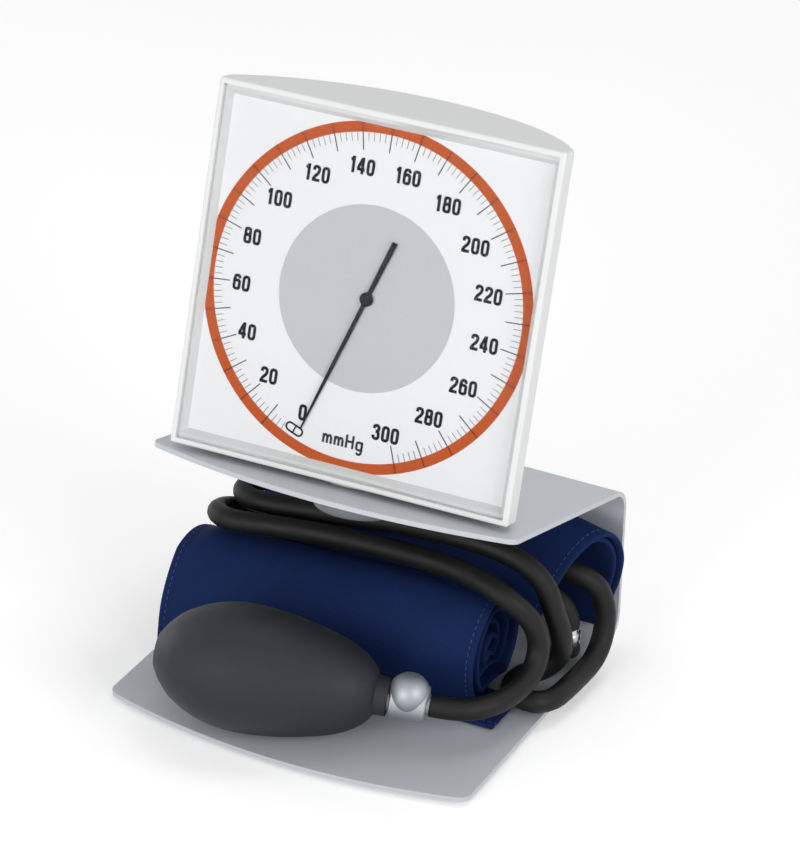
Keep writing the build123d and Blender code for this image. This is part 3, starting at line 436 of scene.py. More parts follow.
# The dial's own frame: right, up and out of its face, about the middle of its front
slope = radians(15.5)
head_turn = radians(3.0)
dial_right = Vector((cos(head_turn), sin(head_turn) * cos(slope), -sin(head_turn) * sin(slope)))
dial_up = Vector((0, sin(slope), cos(slope)))
dial_out = dial_right.cross(dial_up)
dial_middle = Vector((0.932, 0.890, 173.166)) * mm
dial_turn = Matrix((dial_right, dial_up, dial_out)).transposed().to_4x4()
dial_place = Matrix.Translation(dial_middle) @ dial_turn

scale_zero = radians(-110.7)
scale_sweep = radians(320)
full_scale = 300
disc_radius = 36.8
number_circle = 51.9
long_tick_inner = 57.9
short_tick_inner = 61.4
ring_inner = 64.8
ring_outer = 69.0
zero_mark_circle = 61.5
circle_steps = 180
print_lift = 0.06
# all the print stands a little left of the pointer's arbor, as it does in the photograph
print_shift = -0.5


def scale_angle(pressure):
    """The angle of a pressure on the dial, running clockwise."""
    return scale_zero - scale_sweep * pressure / full_scale


def flat_print(name, mesh, ink, lift):
    """Lay a flat mesh, drawn in millimetres, on the dial as print."""
    mesh.transform(Matrix.Scale(mm, 4) @ Matrix.Translation((print_shift, 0, lift)))
    mesh.transform(dial_place)
    return new_piece(name, mesh, ink, "gauge_head")


def facing_out(mesh):
    """Turn a flat mesh's faces to the front of the dial."""
    work = bmesh.new()
    work.from_mesh(mesh)
    back = [face for face in work.faces if face.normal.z < 0]
    bmesh.ops.reverse_faces(work, faces=back)
    work.to_mesh(mesh)
    work.free()
    return mesh


def faces_between(count):
    """Faces between two closed loops of points, the second listed after the first."""
    return [(k, (k + 1) % count, count + (k + 1) % count, count + k) for k in range(count)]


def band(name, outer, inner):
    """A flat closed band between two outlines with as many points each."""
    points = [(x, y, 0) for x, y in outer + inner]
    return facing_out(plain_mesh(name, points, faces_between(len(outer)), smooth=False))


def circle(radius):
    """Outline of a circle round the dial's middle."""
    angles = [2 * pi * k / circle_steps for k in range(circle_steps)]
    return [(radius * cos(angle), radius * sin(angle)) for angle in angles]


def pill(half_length, half_width, angle, distance):
    """Outline of an oblong lying along the scale, at an angle and distance from the middle."""
    middle = Vector((cos(angle), sin(angle))) * distance
    along = Matrix.Rotation(angle + pi / 2, 2)
    end_steps = 24
    outline = []
    for side in (1, -1):
        for k in range(end_steps + 1):
            turn = side * pi / 2 - pi * k / end_steps
            x = side * (half_length - half_width) + half_width * cos(turn)
            outline.append(middle + along @ Vector((x, half_width * sin(turn))))
    return outline


disc = bpy.data.meshes.new("grey_disc")
disc_points = [(x, y, 0) for x, y in circle(disc_radius)]
disc.from_pydata(disc_points, [], [tuple(range(circle_steps))])
flat_print("printed_grey_disc", facing_out(disc), disc_ink, print_lift)
ring = band("orange_ring", circle(ring_outer), circle(ring_inner))
flat_print("printed_orange_ring", ring, ring_ink, print_lift)
pill_outer = pill(4.05, 2.0, scale_zero, zero_mark_circle)
pill_inner = pill(3.3, 1.25, scale_zero, zero_mark_circle)
pill_band = band("zero_pill", pill_outer, pill_inner)
flat_print("printed_zero_mark", pill_band, black_ink, 2 * print_lift)


def new_tree(name, inputs):
    """A geometry node tree with named inputs of given kinds, and the outputs that give them."""
    tree = bpy.data.node_groups.new(name, "GeometryNodeTree")
    face = tree.interface
    face.new_socket("Geometry", in_out="OUTPUT", socket_type="NodeSocketGeometry")
    for socket, kind in inputs.items():
        face.new_socket(socket, in_out="INPUT", socket_type="NodeSocket" + kind)
    return tree, node(tree, "NodeGroupInput").outputs


def end_tree(tree, points, piece, rotation, material, **scale):
    """Put a piece on each point, make them all real and give them their material."""
    inputs = {"Points": points, "Instance": piece, "Rotation": rotation, **scale}
    placed = node(tree, "GeometryNodeInstanceOnPoints", inputs).outputs["Instances"]
    real = node(tree, "GeometryNodeRealizeInstances", {"Geometry": placed}).outputs["Geometry"]
    inputs = {"Geometry": real, "Material": material}
    coated = node(tree, "GeometryNodeSetMaterial", inputs).outputs["Geometry"]
    node(tree, "NodeGroupOutput", {"Geometry": coated})
    return tree


def tick_tree():
    """Geometry nodes for a row of radial marks round the dial."""
    inputs = {"Count": "Int", "First Angle": "Float", "Step": "Float", "Inner Radius": "Float"}
    inputs |= {"Outer Radius": "Float", "Width": "Float", "Ink": "Material"}
    tree, given = new_tree("dial_ticks", inputs)
    inner, outer = given["Inner Radius"], given["Outer Radius"]
    length = maths(tree, "SUBTRACT", outer, inner)
    middle = maths(tree, "MULTIPLY", maths(tree, "ADD", outer, inner), 0.5)
    size = {"Size X": length, "Size Y": given["Width"], "Vertices X": 2, "Vertices Y": 2}
    mark = node(tree, "GeometryNodeMeshGrid", size).outputs["Mesh"]
    place = node(tree, "ShaderNodeCombineXYZ", {"X": middle}).outputs[0]
    inputs = {"Geometry": mark, "Translation": place}
    moved = node(tree, "GeometryNodeTransform", inputs).outputs["Geometry"]
    inputs = {"Count": given["Count"], "Offset": (0, 0, 0)}
    spots = node(tree, "GeometryNodeMeshLine", inputs).outputs["Mesh"]
    index = node(tree, "GeometryNodeInputIndex").outputs[0]
    turned_by = maths(tree, "MULTIPLY_ADD", index, given["Step"], given["First Angle"])
    spin = node(tree, "ShaderNodeCombineXYZ", {"Z": turned_by}).outputs[0]
    return end_tree(tree, spots, moved, spin, given["Ink"])


def grown(name, tree, values, start=None):
    """Run a node tree with the given inputs and keep its result as a plain mesh."""
    carrier = bpy.data.objects.new(name + "_carrier", start or bpy.data.meshes.new(name))
    bpy.context.collection.objects.link(carrier)
    modifier = carrier.modifiers.new("grow", "NODES")
    modifier.node_group = tree
    for item in tree.interface.items_tree:
        if item.name in values:
            modifier[item.identifier] = values[item.name]
    ready = carrier.evaluated_get(bpy.context.evaluated_depsgraph_get())
    mesh = bpy.data.meshes.new_from_object(ready)
    mesh.name = name
    bpy.data.objects.remove(carrier)
    return mesh


# Rows of marks: first and last pressure and their step, inner and outer radius, width, ink and
# how many layers of ink they lie above the dial
ticks = tick_tree()
tick_rows = (
    ("short_ticks", 4, full_scale, 2, short_tick_inner, ring_inner, 0.26, fine_ink, 1.5),
    ("long_ticks", 10, full_scale, 10, long_tick_inner, ring_inner, 0.42, long_ink, 2),
    ("ring_ticks", 10, full_scale, 10, ring_inner, ring_outer, 0.55, crossing_ink, 2),
    ("zero_line", 0, 0, 10, 59.8, 63.2, 0.6, black_ink, 2),
)
for name, first, last, every, inner, outer, width, ink, layers in tick_rows:
    row = grown(
        name,
        ticks,
        {
            "Count": (last - first) // every + 1,
            "First Angle": scale_angle(first),
            "Step": -scale_sweep * every / full_scale,
            "Inner Radius": inner,
            "Outer Radius": outer,
            "Width": width,
            "Ink": ink,
        },
    )
    flat_print("printed_" + name, facing_out(row), ink, layers * print_lift)


def stroked(lines, width):
    """A flat mesh of strokes of one width along lines of points; a closed line ends as it began."""
    work = bmesh.new()
    for line in lines:
        closed = (Vector(line[0]) - Vector(line[-1])).length < 1e-6
        points = [Vector((x, y, 0)) for x, y in line]
        if closed:
            points = points[:-1]
        count = len(points)
        sides = []
        for k, point in enumerate(points):
            before = points[k - 1] if closed or k else point
            after = points[(k + 1) % count] if closed or k < count - 1 else point
            ahead = (after - before).normalized()
            side = Vector((-ahead.y, ahead.x, 0)) * width / 2
            sides.append((work.verts.new(point + side), work.verts.new(point - side)))
        for k in range(count if closed else count - 1):
            (a, b), (c, d) = sides[k], sides[(k + 1) % count]
            work.faces.new((a, b, d, c))
    mesh = bpy.data.meshes.new("strokes")
    work.to_mesh(mesh)
    work.free()
    return mesh


def rounded(points, closed=False):
    """A smooth line through the points, as pairs; a closed one ends as it began."""
    steps = 5
    if closed:
        line = smooth_line(points[-2:] + points + points[:2], steps)[2 * steps : -2 * steps]
        line.append(line[0])
    else:
        line = smooth_line(points, steps)
    return [tuple(point) for point in line]


def oval(middle, half_height, half_width):
    """The narrow, straight-sided oval of a condensed numeral."""
    quarter = [(1.0, 0.0), (1.0, 0.42), (0.9, 0.78), (0.55, 0.96), (0.0, 1.0)]
    outline = quarter + [(-x, y) for x, y in quarter[-2:0:-1]]
    outline += [(-x, -y) for x, y in quarter[:-1]] + [(x, -y) for x, y in quarter[:0:-1]]
    spots = [(x * half_width, middle + y * half_height) for x, y in outline]
    return rounded(spots, closed=True)


# Bold condensed numerals, drawn by the middle lines of their strokes
stroke = 1.22
numeral_width = 3.4
numeral_height = 6.5
numeral_space = 0.55
# how far the middle lines of the outermost strokes lie from the numeral's middle
reach = (numeral_width - stroke) / 2
rise = (numeral_height - stroke) / 2
numerals = {
    "0": [oval(0, rise, reach)],
    "1": [[(0.3, -3.25), (0.3, 3.25)], rounded([(-0.95, 1.75), (-0.3, 1.95), (0.15, 2.75)])],
    "2": [
        rounded([(-reach, 1.2), (-0.85, 2.35), (0, rise), (0.9, 2.25), (1.08, 1.2), (0.6, 0.0),
                 (-0.35, -1.05), (-0.9, -2.0), (-1.1, -2.7)]),
        [(-1.65, -rise), (1.6, -rise)],
    ],
    "3": [
        rounded([(-1.05, 1.35), (-0.85, 2.3), (0, rise), (0.85, 2.3), (1.0, 1.4), (0.7, 0.6),
                 (-0.2, 0.3)]),
        rounded([(-0.2, 0.3), (0.8, -0.1), (reach, -1.15), (0.9, -2.25), (0, -rise),
                 (-0.9, -2.25), (-1.1, -1.3)]),
    ],
    "4": [
        [(0.55, -3.25), (0.55, 3.25)],
        [(0.3, 2.75), (-1.35, -1.25)],
        [(-1.7, -1.45), (1.6, -1.45)],
    ],
    "6": [
        oval(-1.0, 1.68, reach),
        rounded([(-reach, -1.0), (-1.08, 0.9), (-0.75, 2.3), (0.05, rise), (0.85, 2.3),
                 (1.05, 1.5)]),
    ],
    "8": [oval(1.42, 1.26, 0.96), oval(-1.22, 1.46, reach)],
}
number_step = 20
for pressure in range(0, full_scale + 1, number_step):
    word = str(pressure)
    strokes = []
    for k, figure in enumerate(word):
        shift = (numeral_width + numeral_space) * (k - (len(word) - 1) / 2)
        narrow = 0.35 if figure == "1" and len(word) > 1 else 0.0
        strokes += [[(x + shift + narrow, y) for x, y in line] for line in numerals[figure]]
    number = stroked(strokes, stroke)
    # the numbers stand a little left of and below their circle, the two end ones lowest
    drop = 1.6 if pressure in (0, full_scale) else 0.4
    at = scale_angle(pressure)
    spot = Vector((number_circle * cos(at) - 0.9, number_circle * sin(at) - drop, 0))
    number.transform(Matrix.Translation(spot))
    flat_print(f"printed_number_{pressure}", facing_out(number), black_ink, 2 * print_lift)


# The unit, drawn the same way: the strokes of each letter, which stand on a line
letter_m = [
    [(0, 0), (0, 3.6)],
    rounded([(0, 2.2), (0.5, 3.1), (1.1, 3.25), (1.6, 2.5)]) + [(1.65, 0)],
    rounded([(1.65, 2.2), (2.1, 3.1), (2.75, 3.25), (3.25, 2.5)]) + [(3.3, 0)],
]
letter_h = [[(0, 0), (0, 5.3)], [(2.7, 0), (2.7, 5.3)], [(0, 2.7), (2.7, 2.7)]]
letter_g = [
    [(x + 1.1, y) for x, y in oval(1.75, 1.5, 1.1)],
    [(2.2, 3.6), (2.2, -0.5)],
    rounded([(2.2, -0.5), (1.8, -1.35), (0.9, -1.5), (0.1, -1.05)]),
]
unit_strokes = []
for letter, start in ((letter_m, 0.0), (letter_m, 4.9), (letter_h, 9.8), (letter_g, 14.2)):
    unit_strokes += [[(x + start, y) for x, y in line] for line in letter]
unit_stroke = 0.95
unit_place = (-9.1, -59.7, 0)
unit = stroked(unit_strokes, unit_stroke)
unit.transform(Matrix.Translation(unit_place))
flat_print("printed_unit", facing_out(unit), unit_ink, 2 * print_lift)


def turned(name, profile, middle, axis, around):
    """A closed solid turned about an axis from its profile of lengths along it and radii."""
    axis = Vector(axis).normalized()
    side = axis.orthogonal().normalized()
    other = axis.cross(side)
    points, rings = [], []
    for along, radius in profile:
        centre = Vector(middle) + axis * along
        if radius == 0:
            rings.append([len(points)] * around)
            points.append(centre)
            continue
        rings.append(list(range(len(points), len(points) + around)))
        for k in range(around):
            turn = 2 * pi * k / around
            points.append(centre + (side * cos(turn) + other * sin(turn)) * radius)
    faces = []
    for a, b in zip(rings, rings[1:]):
        for j in range(around):
            after = (j + 1) % around
            # at a pole two corners of the face are one point
            faces.append(tuple(dict.fromkeys((a[j], a[after], b[after], b[j]))))
    faces += [tuple(ring) for ring in (rings[0], rings[-1]) if ring[0] != ring[1]]
    return plain_mesh(name, points, faces)


def prism(name, outline, low, high):
    """A flat plate of one outline, between two heights."""
    count = len(outline)
    points = [(x, y, z) for z in (low, high) for x, y in outline]
    faces = [tuple(range(count)), tuple(range(count, 2 * count))] + faces_between(count)
    return plain_mesh(name, points, faces, smooth=False)


# Pointer: a stamped blade and counterweight tail under a turned boss, where the part has it
pointer_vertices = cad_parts["pointer"].data.vertices
pointer_depths = [(dial_place.inverted() @ v.co).z / mm for v in pointer_vertices]
pointer_low = min(pointer_depths)
boss_rise = max(pointer_depths) - pointer_low
pointer_angle = radians(-109)
blade_thickness = 0.5
blade_outline = [
    (-25.6, -1.12), (-25.6, 1.12), (0, 0.85), (30, 0.72), (59.6, 0.3), (60.2, 0.0),
    (59.6, -0.3), (30, -0.72), (0, -0.85),
]
boss_profile = [
    (0.35, 2.6), (0.0, 2.8), (0.45 * boss_rise, 2.8), (0.75 * boss_rise, 2.2),
    (0.93 * boss_rise, 1.2), (boss_rise, 0.0),
]
blade = prism("pointer_blade", blade_outline, pointer_low, pointer_low + blade_thickness)
blade.transform(Matrix.Rotation(pointer_angle, 4, "Z"))
boss = turned("pointer_boss", boss_profile, (0, 0, pointer_low), (0, 0, 1), 40)
work = bmesh.new()
work.from_mesh(blade)
work.from_mesh(boss)
work.to_mesh(blade)
work.free()
blade.transform(dial_place @ Matrix.Scale(mm, 4))
pointer_piece = new_piece("needle", blade, pointer_lacquer, "pointer_body")
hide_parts("pointer")

# Bulb: a blow-moulded egg with a collar round its neck, turned about its own axis
bulb_axis = Vector((0.952586, 0.287603, -0.09932))
bulb_middle = Vector((-21.0, -55.85, 30.45))
outer_line = smooth_line(
    [
        (-35.4, 5.3),
        (-34.6, 7.6),
        (-30.8, 13.0),
        (-24.9, 18.28),
        (-14.0, 23.4),
        (0.0, 25.6),
        (18.2, 24.06),
        (36.35, 19.9),
        (45.0, 16.3),
        (49.8, 12.9),
        (52.2, 10.4),
        (53.2, 8.7),
        (54.0, 7.95),
        (58.3, 7.85),
    ],
    6,
)
inner_line = [
    (58.4, 5.35),
    (51.0, 5.35),
    (50.0, 9.4),
    (44.0, 14.0),
    (36.0, 17.3),
    (18.2, 21.5),
    (0.0, 23.1),
    (-14.0, 20.9),
    (-24.0, 15.8),
    (-31.0, 8.4),
    (-32.6, 5.3),
]
bulb_profile = [tuple(point) for point in outer_line] + [(58.4, 7.6)] + inner_line
bulb_side = Vector((0, 0, 1)).cross(bulb_axis).normalized()
bulb_top = bulb_axis.cross(bulb_side)
bulb_around = 96
ridge_height = 0.12
bulb_points = []
for k in range(bulb_around):
    turn = 2 * pi * k / bulb_around
    out = bulb_side * cos(turn) + bulb_top * sin(turn)
    # the two halves of the mould leave a hairline ridge along each side
    ridge = ridge_height if k % (bulb_around // 2) == 0 else 0.0
    for index, (along, radius) in enumerate(bulb_profile):
        ridged = 3 < index < len(outer_line) - 6
        distance = radius + ridge if ridged else radius
        bulb_points.append((bulb_middle + bulb_axis * along + out * distance) * mm)
steps = len(bulb_profile)
bulb_faces = []
for k in range(bulb_around):
    here, there = k * steps, ((k + 1) % bulb_around) * steps
    for j in range(steps):
        after = (j + 1) % steps
        bulb_faces.append((here + j, there + j, there + after, here + after))
bulb_mesh = plain_mesh("squeeze_bulb", bulb_points, bulb_faces)
bulb_piece = new_piece("squeeze_bulb", bulb_mesh, bulb_pvc, "stand")
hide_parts("bulb")


def hollowed(mesh, cutter):
    """The mesh with the cutter's room taken out of it; its new edges are sharp."""
    carriers = [bpy.data.objects.new("cut_carrier", part) for part in (mesh, cutter)]
    for carrier in carriers:
        bpy.context.collection.objects.link(carrier)
    modifier = carriers[0].modifiers.new("cut", "BOOLEAN")
    modifier.operation = "DIFFERENCE"
    modifier.solver = "EXACT"
    modifier.object = carriers[1]
    ready = carriers[0].evaluated_get(bpy.context.evaluated_depsgraph_get())
    result = bpy.data.meshes.new_from_object(ready)
    for carrier in carriers:
        bpy.data.objects.remove(carrier)
    sharpest_smooth = radians(35)
    result.set_sharp_from_angle(angle=sharpest_smooth)
    return result


# Release valve: a round barrel in line with the bulb, with a socket in which its ball knob sits
valve_middle = Vector((42.48986, -36.68128, 23.83034))
ball_middle = valve_middle + Vector((0, 0, 3.7))
ball_radius = 8.4
ball_clearance = 0.1
valve_around = 96
barrel_profile = [
    (-17.0, 5.25), (-7.2, 5.25), (-7.2, 7.2), (-6.8, 7.6), (6.8, 7.6), (7.2, 7.2), (7.2, 4.1),
    (11.5, 4.1),
]


def ball_of(name, radius):
    """A ball about the middle of the valve's knob."""
    steps = valve_around // 2
    bends = [pi * k / steps for k in range(1, steps)]
    half_circle = [(radius * cos(bend), radius * sin(bend)) for bend in bends]
    profile = [(radius, 0)] + half_circle + [(-radius, 0)]
    return turned(name, profile, ball_middle, (0, 0, 1), valve_around)


barrel = turned("valve_barrel", barrel_profile, valve_middle, bulb_axis, valve_around)
barrel = hollowed(barrel, ball_of("valve_socket", ball_radius + ball_clearance))
barrel.name = "valve_barrel"
barrel.transform(Matrix.Scale(mm, 4))
barrel_piece = new_piece("valve_barrel", barrel, matt_chrome, "stand")
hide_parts("valve_body")
ball = ball_of("valve_ball", ball_radius)
ball.transform(Matrix.Scale(mm, 4))
ball_piece = new_piece("valve_ball", ball, matt_chrome, "valve_knob_body")
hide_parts("valve_knob")

# Cuff: one long padded cloth, rolled up from its inner end
cuff_left = -79.0
cuff_right = 57.0
turn_pitch = 5.3
turns = 3.55
left_arcs = ((-25, 6.6), (-21, 32.0), (-9, 47.8), (28.5, 38.0), (31.0, 6.6))
right_arcs = ((-4.5, 6.6), (-13.5, 29.0), (9.5, 54.0), (35.5, 32.0), (23.5, 6.6))


def arc_points(start, through, end, count):
    """Points along the arc through three points, without its last one."""
    ax, ay = start
    bx, by = through
    cx, cy = end
    d = 2 * (ax * (by - cy) + bx * (cy - ay) + cx * (ay - by))
    a2, b2, c2 = ax * ax + ay * ay, bx * bx + by * by, cx * cx + cy * cy
    ux = (a2 * (by - cy) + b2 * (cy - ay) + c2 * (ay - by)) / d
    uy = (a2 * (cx - bx) + b2 * (ax - cx) + c2 * (bx - ax)) / d
    middle = Vector((ux, uy))
    first = Vector(start) - middle
    sweep = first.angle_signed(Vector(through) - middle)
    sweep += (Vector(through) - middle).angle_signed(Vector(end) - middle)
    return [middle + Matrix.Rotation(-sweep * k / count, 2) @ first for k in range(count)]


def roll_section(corners):
    """The roll's outside as 72 points: over its front, its top and back, and under it."""
    front = arc_points(corners[0], corners[1], corners[2], 26)
    back = arc_points(corners[2], corners[3], corners[4], 26)
    start, end = Vector(corners[4]), Vector(corners[0])
    under = [start.lerp(end, k / 20) for k in range(20)]
    return front + back + under


left_section = roll_section(left_arcs)
right_section = roll_section(right_arcs)
section_count = len(left_section)


def cloth_grid(name, rows, thickness, lengths, widths):
    """A padded sheet: rows of points, swollen to both sides by a thickness at each of them."""
    count = len(rows)
    width = len(rows[0])
    outer, inner = [], []
    for i in range(count):
        for j in range(width):
            along = rows[min(i + 1, count - 1)][j] - rows[max(i - 1, 0)][j]
            across = rows[i][min(j + 1, width - 1)] - rows[i][max(j - 1, 0)]
            normal = along.cross(across).normalized()
            outer.append((rows[i][j] + normal * thickness[i][j] / 2) * mm)
            inner.append((rows[i][j] - normal * thickness[i][j] / 2) * mm)
    total = count * width
    faces = []
    for i in range(count - 1):
        for j in range(width - 1):
            a = i * width + j
            faces.append((a, a + 1, a + width + 1, a + width))
            faces.append((total + a, total + a + width, total + a + width + 1, total + a + 1))
    for i in range(count - 1):
        for j in (0, width - 1):
            a, b = i * width + j, (i + 1) * width + j
            faces.append((a, b, total + b, total + a))
    for j in range(width - 1):
        for i in (0, count - 1):
            a, b = i * width + j, i * width + j + 1
            faces.append((a, b, total + b, total + a))
    mesh = bpy.data.meshes.new(name)
    mesh.from_pydata(outer + inner, [], faces)
    work = bmesh.new()
    work.from_mesh(mesh)
    bmesh.ops.recalc_face_normals(work, faces=work.faces)
    chart = work.loops.layers.uv.new("cloth_lengths")
    for face in work.faces:
        for loop in face.loops:
            index = loop.vert.index % total
            loop[chart].uv = (lengths[index // width] * mm, widths[index % width] * mm)
    work.to_mesh(mesh)
    work.free()
    mesh.polygons.foreach_set("use_smooth", [True] * len(mesh.polygons))
    return mesh


# How far a hem's stations lie from the cloth's edge, and the one along which it is stitched
hem_steps = (0.0, 0.35, 0.9, 1.7, 2.8, 4.2, 6.0, 8.5)
stitch_station = 4
stitch_inset = hem_steps[stitch_station]
thinnest_edge = 0.35
padding_start = 3.2
padding_rise = 8


def hem_stations(start, end, inner_step):
    """Stations across a cloth: close together in both hems, even in between."""
    inside = end - start - 2 * hem_steps[-1]
    count = ceil(inside / inner_step)
    between = [start + hem_steps[-1] + inside * k / count for k in range(1, count)]
    return [start + h for h in hem_steps] + between + [end - h for h in reversed(hem_steps)]


def hem_thickness(edge_distance, full, hem):
    """Cloth thickness at a distance from its edge: rounded, a flat hem, then the padding."""
    if edge_distance < hem / 2:
        return max(thinnest_edge, hem * sqrt(max(0.0, 1 - (1 - 2 * edge_distance / hem) ** 2)))
    swell = min(1.0, max(0.0, (edge_distance - padding_start) / padding_rise))
    return hem + (full - hem) * swell * swell * (3 - 2 * swell)


def cloth_noise(point, size, seed):
    """Soft folds of about a size in millimetres, between -1 and 1."""
    return noise.noise(point / size + Vector((seed, 2.3 * seed, -seed)))


def lengths_along(points):
    """How far along a line each of its points lies."""
    lengths = [0.0]
    for a, b in zip(points, points[1:]):
        lengths.append(lengths[-1] + (b - a).length)
    return lengths


# Rows of the roll run along its spiral, from the outer end inwards, about a line through its
# middle; the outermost layer's middle lies a little inside the roll's outline
left_middle = Vector((0.0, 26.5))
right_middle = Vector((10.5, 29.5))
first_depth = 2.3
nearest_middle = 0.06
stitched_turn = 0.7
roll_stations = hem_stations(0.0, cuff_right - cuff_left, 4.5)
roll_width = roll_stations[-1]
roll_rows, roll_thickness = [], []
stitch_rows = [[], []]
for s in range(int(turns * section_count) + 1):
    turn_number = s / section_count
    outline_spot = s % section_count
    depth = first_depth + turn_pitch * turn_number
    row, thick = [], []
    # each turn ends a little further in or out, as a cuff rolled by hand does
    slip = 1.3 * sin(2.1 * turn_number) - 0.55 * turn_number
    for across in roll_stations:
        share = across / roll_width
        outline = left_section[outline_spot].lerp(right_section[outline_spot], share)
        middle = left_middle.lerp(right_middle, share)
        radial = outline - middle
        place = middle + radial * max(nearest_middle, 1 - depth / radial.length)
        x = cuff_left + across + slip * (1 - min(1.0, (roll_width - across) / 30))
        point = Vector((x, place.x, place.y))
        wave = 0.9 * cloth_noise(point, size=34, seed=1.7)
        wave += 0.35 * cloth_noise(point, size=11, seed=4.1)
        # the padding sinks in by up to about a millimetre, but not where it rests on the base
        free = min(1.0, max(0.0, (point.z - 9) / 6))
        normal = Vector((0, radial.x, radial.y)).normalized()
        point -= normal * (0.8 - wave) * free * 0.6
        row.append(point)
        edge = min(across, roll_width - across)
        thick.append(hem_thickness(edge, full=4.5, hem=1.9))
        if turn_number < stitched_turn and abs(edge - stitch_inset) < 0.05:
            stitch_rows[0 if share < 0.5 else 1].append(point + normal)
    roll_rows.append(row)
    roll_thickness.append(thick)
roll_lengths = lengths_along([row[len(row) // 2] for row in roll_rows])
roll_mesh = cloth_grid("cuff_roll", roll_rows, roll_thickness, roll_lengths, roll_stations)
roll_piece = new_piece("cuff_roll", roll_mesh, navy_nylon, "stand")
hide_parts("cuff")

# The last of the cuff, thrown up over the roll and hanging inside the back wall, in two
# layers. Each point is the x of its left and right edges, then the cloth's y and z
tail_path = [
    (-56, 69.5, 22, 36),
    (-55, 70.5, 34, 44.5),
    (-58, 73, 46, 54),
    (-72, 77, 56, 60.3),
    (-79, 80.5, 63, 61.5),
    (-82, 82.5, 69, 57.5),
    (-83, 83.5, 73, 49),
    (-83, 82, 75, 38),
    (-82.5, 78.5, 75.8, 24),
    (-82, 75, 76, 9),
]
# The stations across it are set out on this width and spread between its edges, which stand
# 126 to 167 mm apart
tail_width = 119.0
tail_stations = hem_stations(0.0, tail_width, 4.5)
tail_line = smooth_line(tail_path, 8)
tail_lengths = lengths_along([point.yzw for point in tail_line])
# beyond this x nothing carries the tail, so its right edge droops
sag_start = 62
sag_slope = 0.19
for layer, offset, cut in (("cuff_tail_outer", 1.5, 0.0), ("cuff_tail_inner", -1.5, 2.2)):
    rows, thick = [], []
    for k, (left, right, y, z) in enumerate(tail_line):
        steps_left = len(tail_line) - 1 - k
        ahead = tail_line[min(k + 1, len(tail_line) - 1)] - tail_line[max(k - 1, 0)]
        side = Vector((1, 0, 0)).cross(ahead.yzw).normalized()
        end_taper = min(1.0, 0.25 + 0.4 * steps_left)
        row, swell = [], []
        for across in tail_stations:
            x = left + across * (right - cut - left) / tail_width
            sag = sag_slope * max(0.0, x - sag_start) * min(1.0, max(0.0, (z - 12) / 20))
            ripple = 0.7 * cloth_noise(Vector((x, 0, 0.4 * tail_lengths[k])), size=42, seed=3.3)
            spot = Vector((x, y, z - sag)) + side * offset
            row.append(spot + side * ripple * min(1.0, k / 6))
            edge = min(across, tail_width - across)
            swell.append(end_taper * hem_thickness(edge, full=2.7, hem=2.1))
        rows.append(row)
        thick.append(swell)
    if offset > 0:
        stitch_lift = Vector((0, -0.3, 1.1))
        stitch_rows.append([row[-1 - stitch_station] + stitch_lift for row in rows[4:-14]])
    tail_mesh = cloth_grid(layer, rows, thick, tail_lengths, tail_stations)
    tail_piece = new_piece(layer, tail_mesh, navy_nylon, "stand")

# The flap under the roll, lying flat on the base, with its front right corner curled a little
flap_left = -70.0
flap_right = 68.0
flap_front = -13.0
flap_width = 26.0
flap_height = 5.55
flap_stations = hem_stations(0.0, flap_width, 3.0)
flap_along = hem_stations(flap_left, flap_right, 6.0)
flap_rows, flap_thickness = [], []
for x in flap_along:
    row, thick = [], []
    for across in flap_stations:
        corner = max(0.0, (x - 50) / 18) * max(0.0, 1 - across / 9)
        lift = 0.25 * (1 + cloth_noise(Vector((x, across, 0)), size=17, seed=5.2)) * corner
        row.append(Vector((x, flap_front + across, flap_height + lift)))
        edge = min(across, flap_width - across, x - flap_left, flap_right - x)
        thick.append(min(2.3, hem_thickness(edge, full=2.4, hem=2.0)))
    flap_rows.append(row)
    flap_thickness.append(thick)
stitch_rows.append([row[stitch_station] + Vector((0, 0, 1.0)) for row in flap_rows])
flap_lengths = [x - flap_left for x in flap_along]
flap_mesh = cloth_grid("cuff_flap", flap_rows, flap_thickness, flap_lengths, flap_stations)
flap_piece = new_piece("cuff_flap", flap_mesh, navy_nylon, "stand")


def stitch_tree():
    """Geometry nodes for lock stitches lying along the edges of a line mesh."""
    inputs = {"Lines": "Geometry", "Pitch": "Float", "Length": "Float", "Width": "Float"}
    tree, given = new_tree("lock_stitches", inputs | {"Thread": "Material"})
    line = node(tree, "GeometryNodeMeshToCurve", {"Mesh": given["Lines"]}).outputs["Curve"]
    inputs = {"Curve": line, "Length": given["Pitch"]}
    even = node(tree, "GeometryNodeResampleCurve", inputs, mode="LENGTH").outputs["Curve"]
    inputs = {"Segments": 8, "Rings": 5, "Radius": 0.5}
    bead = node(tree, "GeometryNodeMeshUVSphere", inputs).outputs["Mesh"]
    inputs = {"X": given["Length"], "Y": given["Width"], "Z": given["Width"]}
    size = node(tree, "ShaderNodeCombineXYZ", inputs).outputs[0]
    along = node(tree, "GeometryNodeInputTangent").outputs[0]
    turn = node(tree, "FunctionNodeAlignRotationToVector", {"Vector": along}, axis="X").outputs[0]
    return end_tree(tree, even, bead, turn, given["Thread"], Scale=size)


# Stitches along the hems that can be seen
line_points, line_edges = [], []
for row in stitch_rows:
    first = len(line_points)
    line_points += [point * mm for point in row]
    line_edges += [(first + k, first + k + 1) for k in range(len(row) - 1)]
seam_lines = bpy.data.meshes.new("seam_lines")
seam_lines.from_pydata(line_points, line_edges, [])
stitches = grown(
    "cuff_stitches",
    stitch_tree(),
    {"Pitch": 2.8 * mm, "Length": 2.0 * mm, "Width": 0.55 * mm, "Thread": stitch_thread},
    seam_lines,
)
stitches.polygons.foreach_set("use_smooth", [True] * len(stitches.polygons))
new_piece("cuff_stitches", stitches, stitch_thread, "stand")


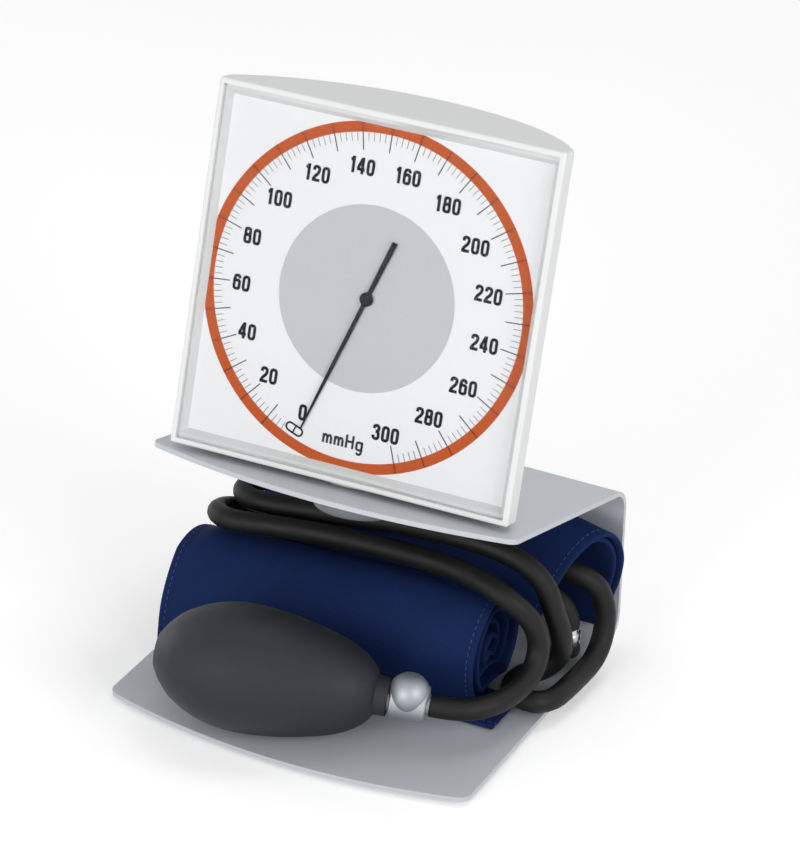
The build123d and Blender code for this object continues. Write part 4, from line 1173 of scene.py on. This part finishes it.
def seen_directly(tree):
    """One where the camera looks, also by a reflection or through the window, and else zero."""
    ray = node(tree, "ShaderNodeLightPath").outputs
    seen = maths(tree, "MAXIMUM", ray["Is Camera Ray"], ray["Is Glossy Ray"])
    return maths(tree, "MAXIMUM", seen, ray["Is Transmission Ray"])


# Plain pale floor, which the camera sees as near white with the shadow kept
floor_mesh = plain_mesh(
    "floor", [(-4, -4, 0), (4, -4, 0), (4, 4, 0), (-4, 4, 0)], [(0, 1, 2, 3)], smooth=False
)
floor = bpy.data.objects.new("floor", floor_mesh)
bpy.context.collection.objects.link(floor)
paper = finish("white_paper", "#F4F4F4", {"Roughness": 1.0, "Specular IOR Level": 0.0})
paper_glow = 0.3
glow = maths(paper.node_tree, "MULTIPLY", seen_directly(paper.node_tree), paper_glow)
paper.node_tree.nodes["Principled BSDF"].inputs["Emission Color"].default_value = (1, 1, 1, 1)
feed(paper.node_tree, glow, "Emission Strength")
floor_mesh.materials.append(paper)

# Soft studio light: an even white surround, brighter to the camera, and four large panels
world = bpy.data.worlds.new("studio")
bpy.context.scene.world = world
world.use_nodes = True
world_tree = world.node_tree
sky = world_tree.nodes["Background"]
levels = {"Value": seen_directly(world_tree), "To Min": 0.42, "To Max": 0.95}
level = node(world_tree, "ShaderNodeMapRange", levels)
sky.inputs["Color"].default_value = (1, 1, 1, 1)
world_tree.links.new(level.outputs["Result"], sky.inputs["Strength"])

lamps_aim = Vector((0, 0, 0.12))
for name, place, size, power in (
    ("key_panel", (-0.3, -1.9, 0.7), 1.1, 15.0),
    ("side_panel", (1.5, -0.6, 0.8), 0.9, 11.0),
    ("left_panel", (-1.6, 0.0, 0.3), 0.8, 6.0),
    ("top_panel", (0.25, 0.55, 1.7), 0.8, 5.0),
):
    lamp_data = bpy.data.lights.new(name, "AREA")
    lamp_data.size = size
    lamp_data.energy = power
    lamp = bpy.data.objects.new(name, lamp_data)
    bpy.context.collection.objects.link(lamp)
    lamp_turn = (lamps_aim - Vector(place)).to_track_quat("-Z", "Y").to_matrix().to_4x4()
    lamp.matrix_world = Matrix.Translation(place) @ lamp_turn
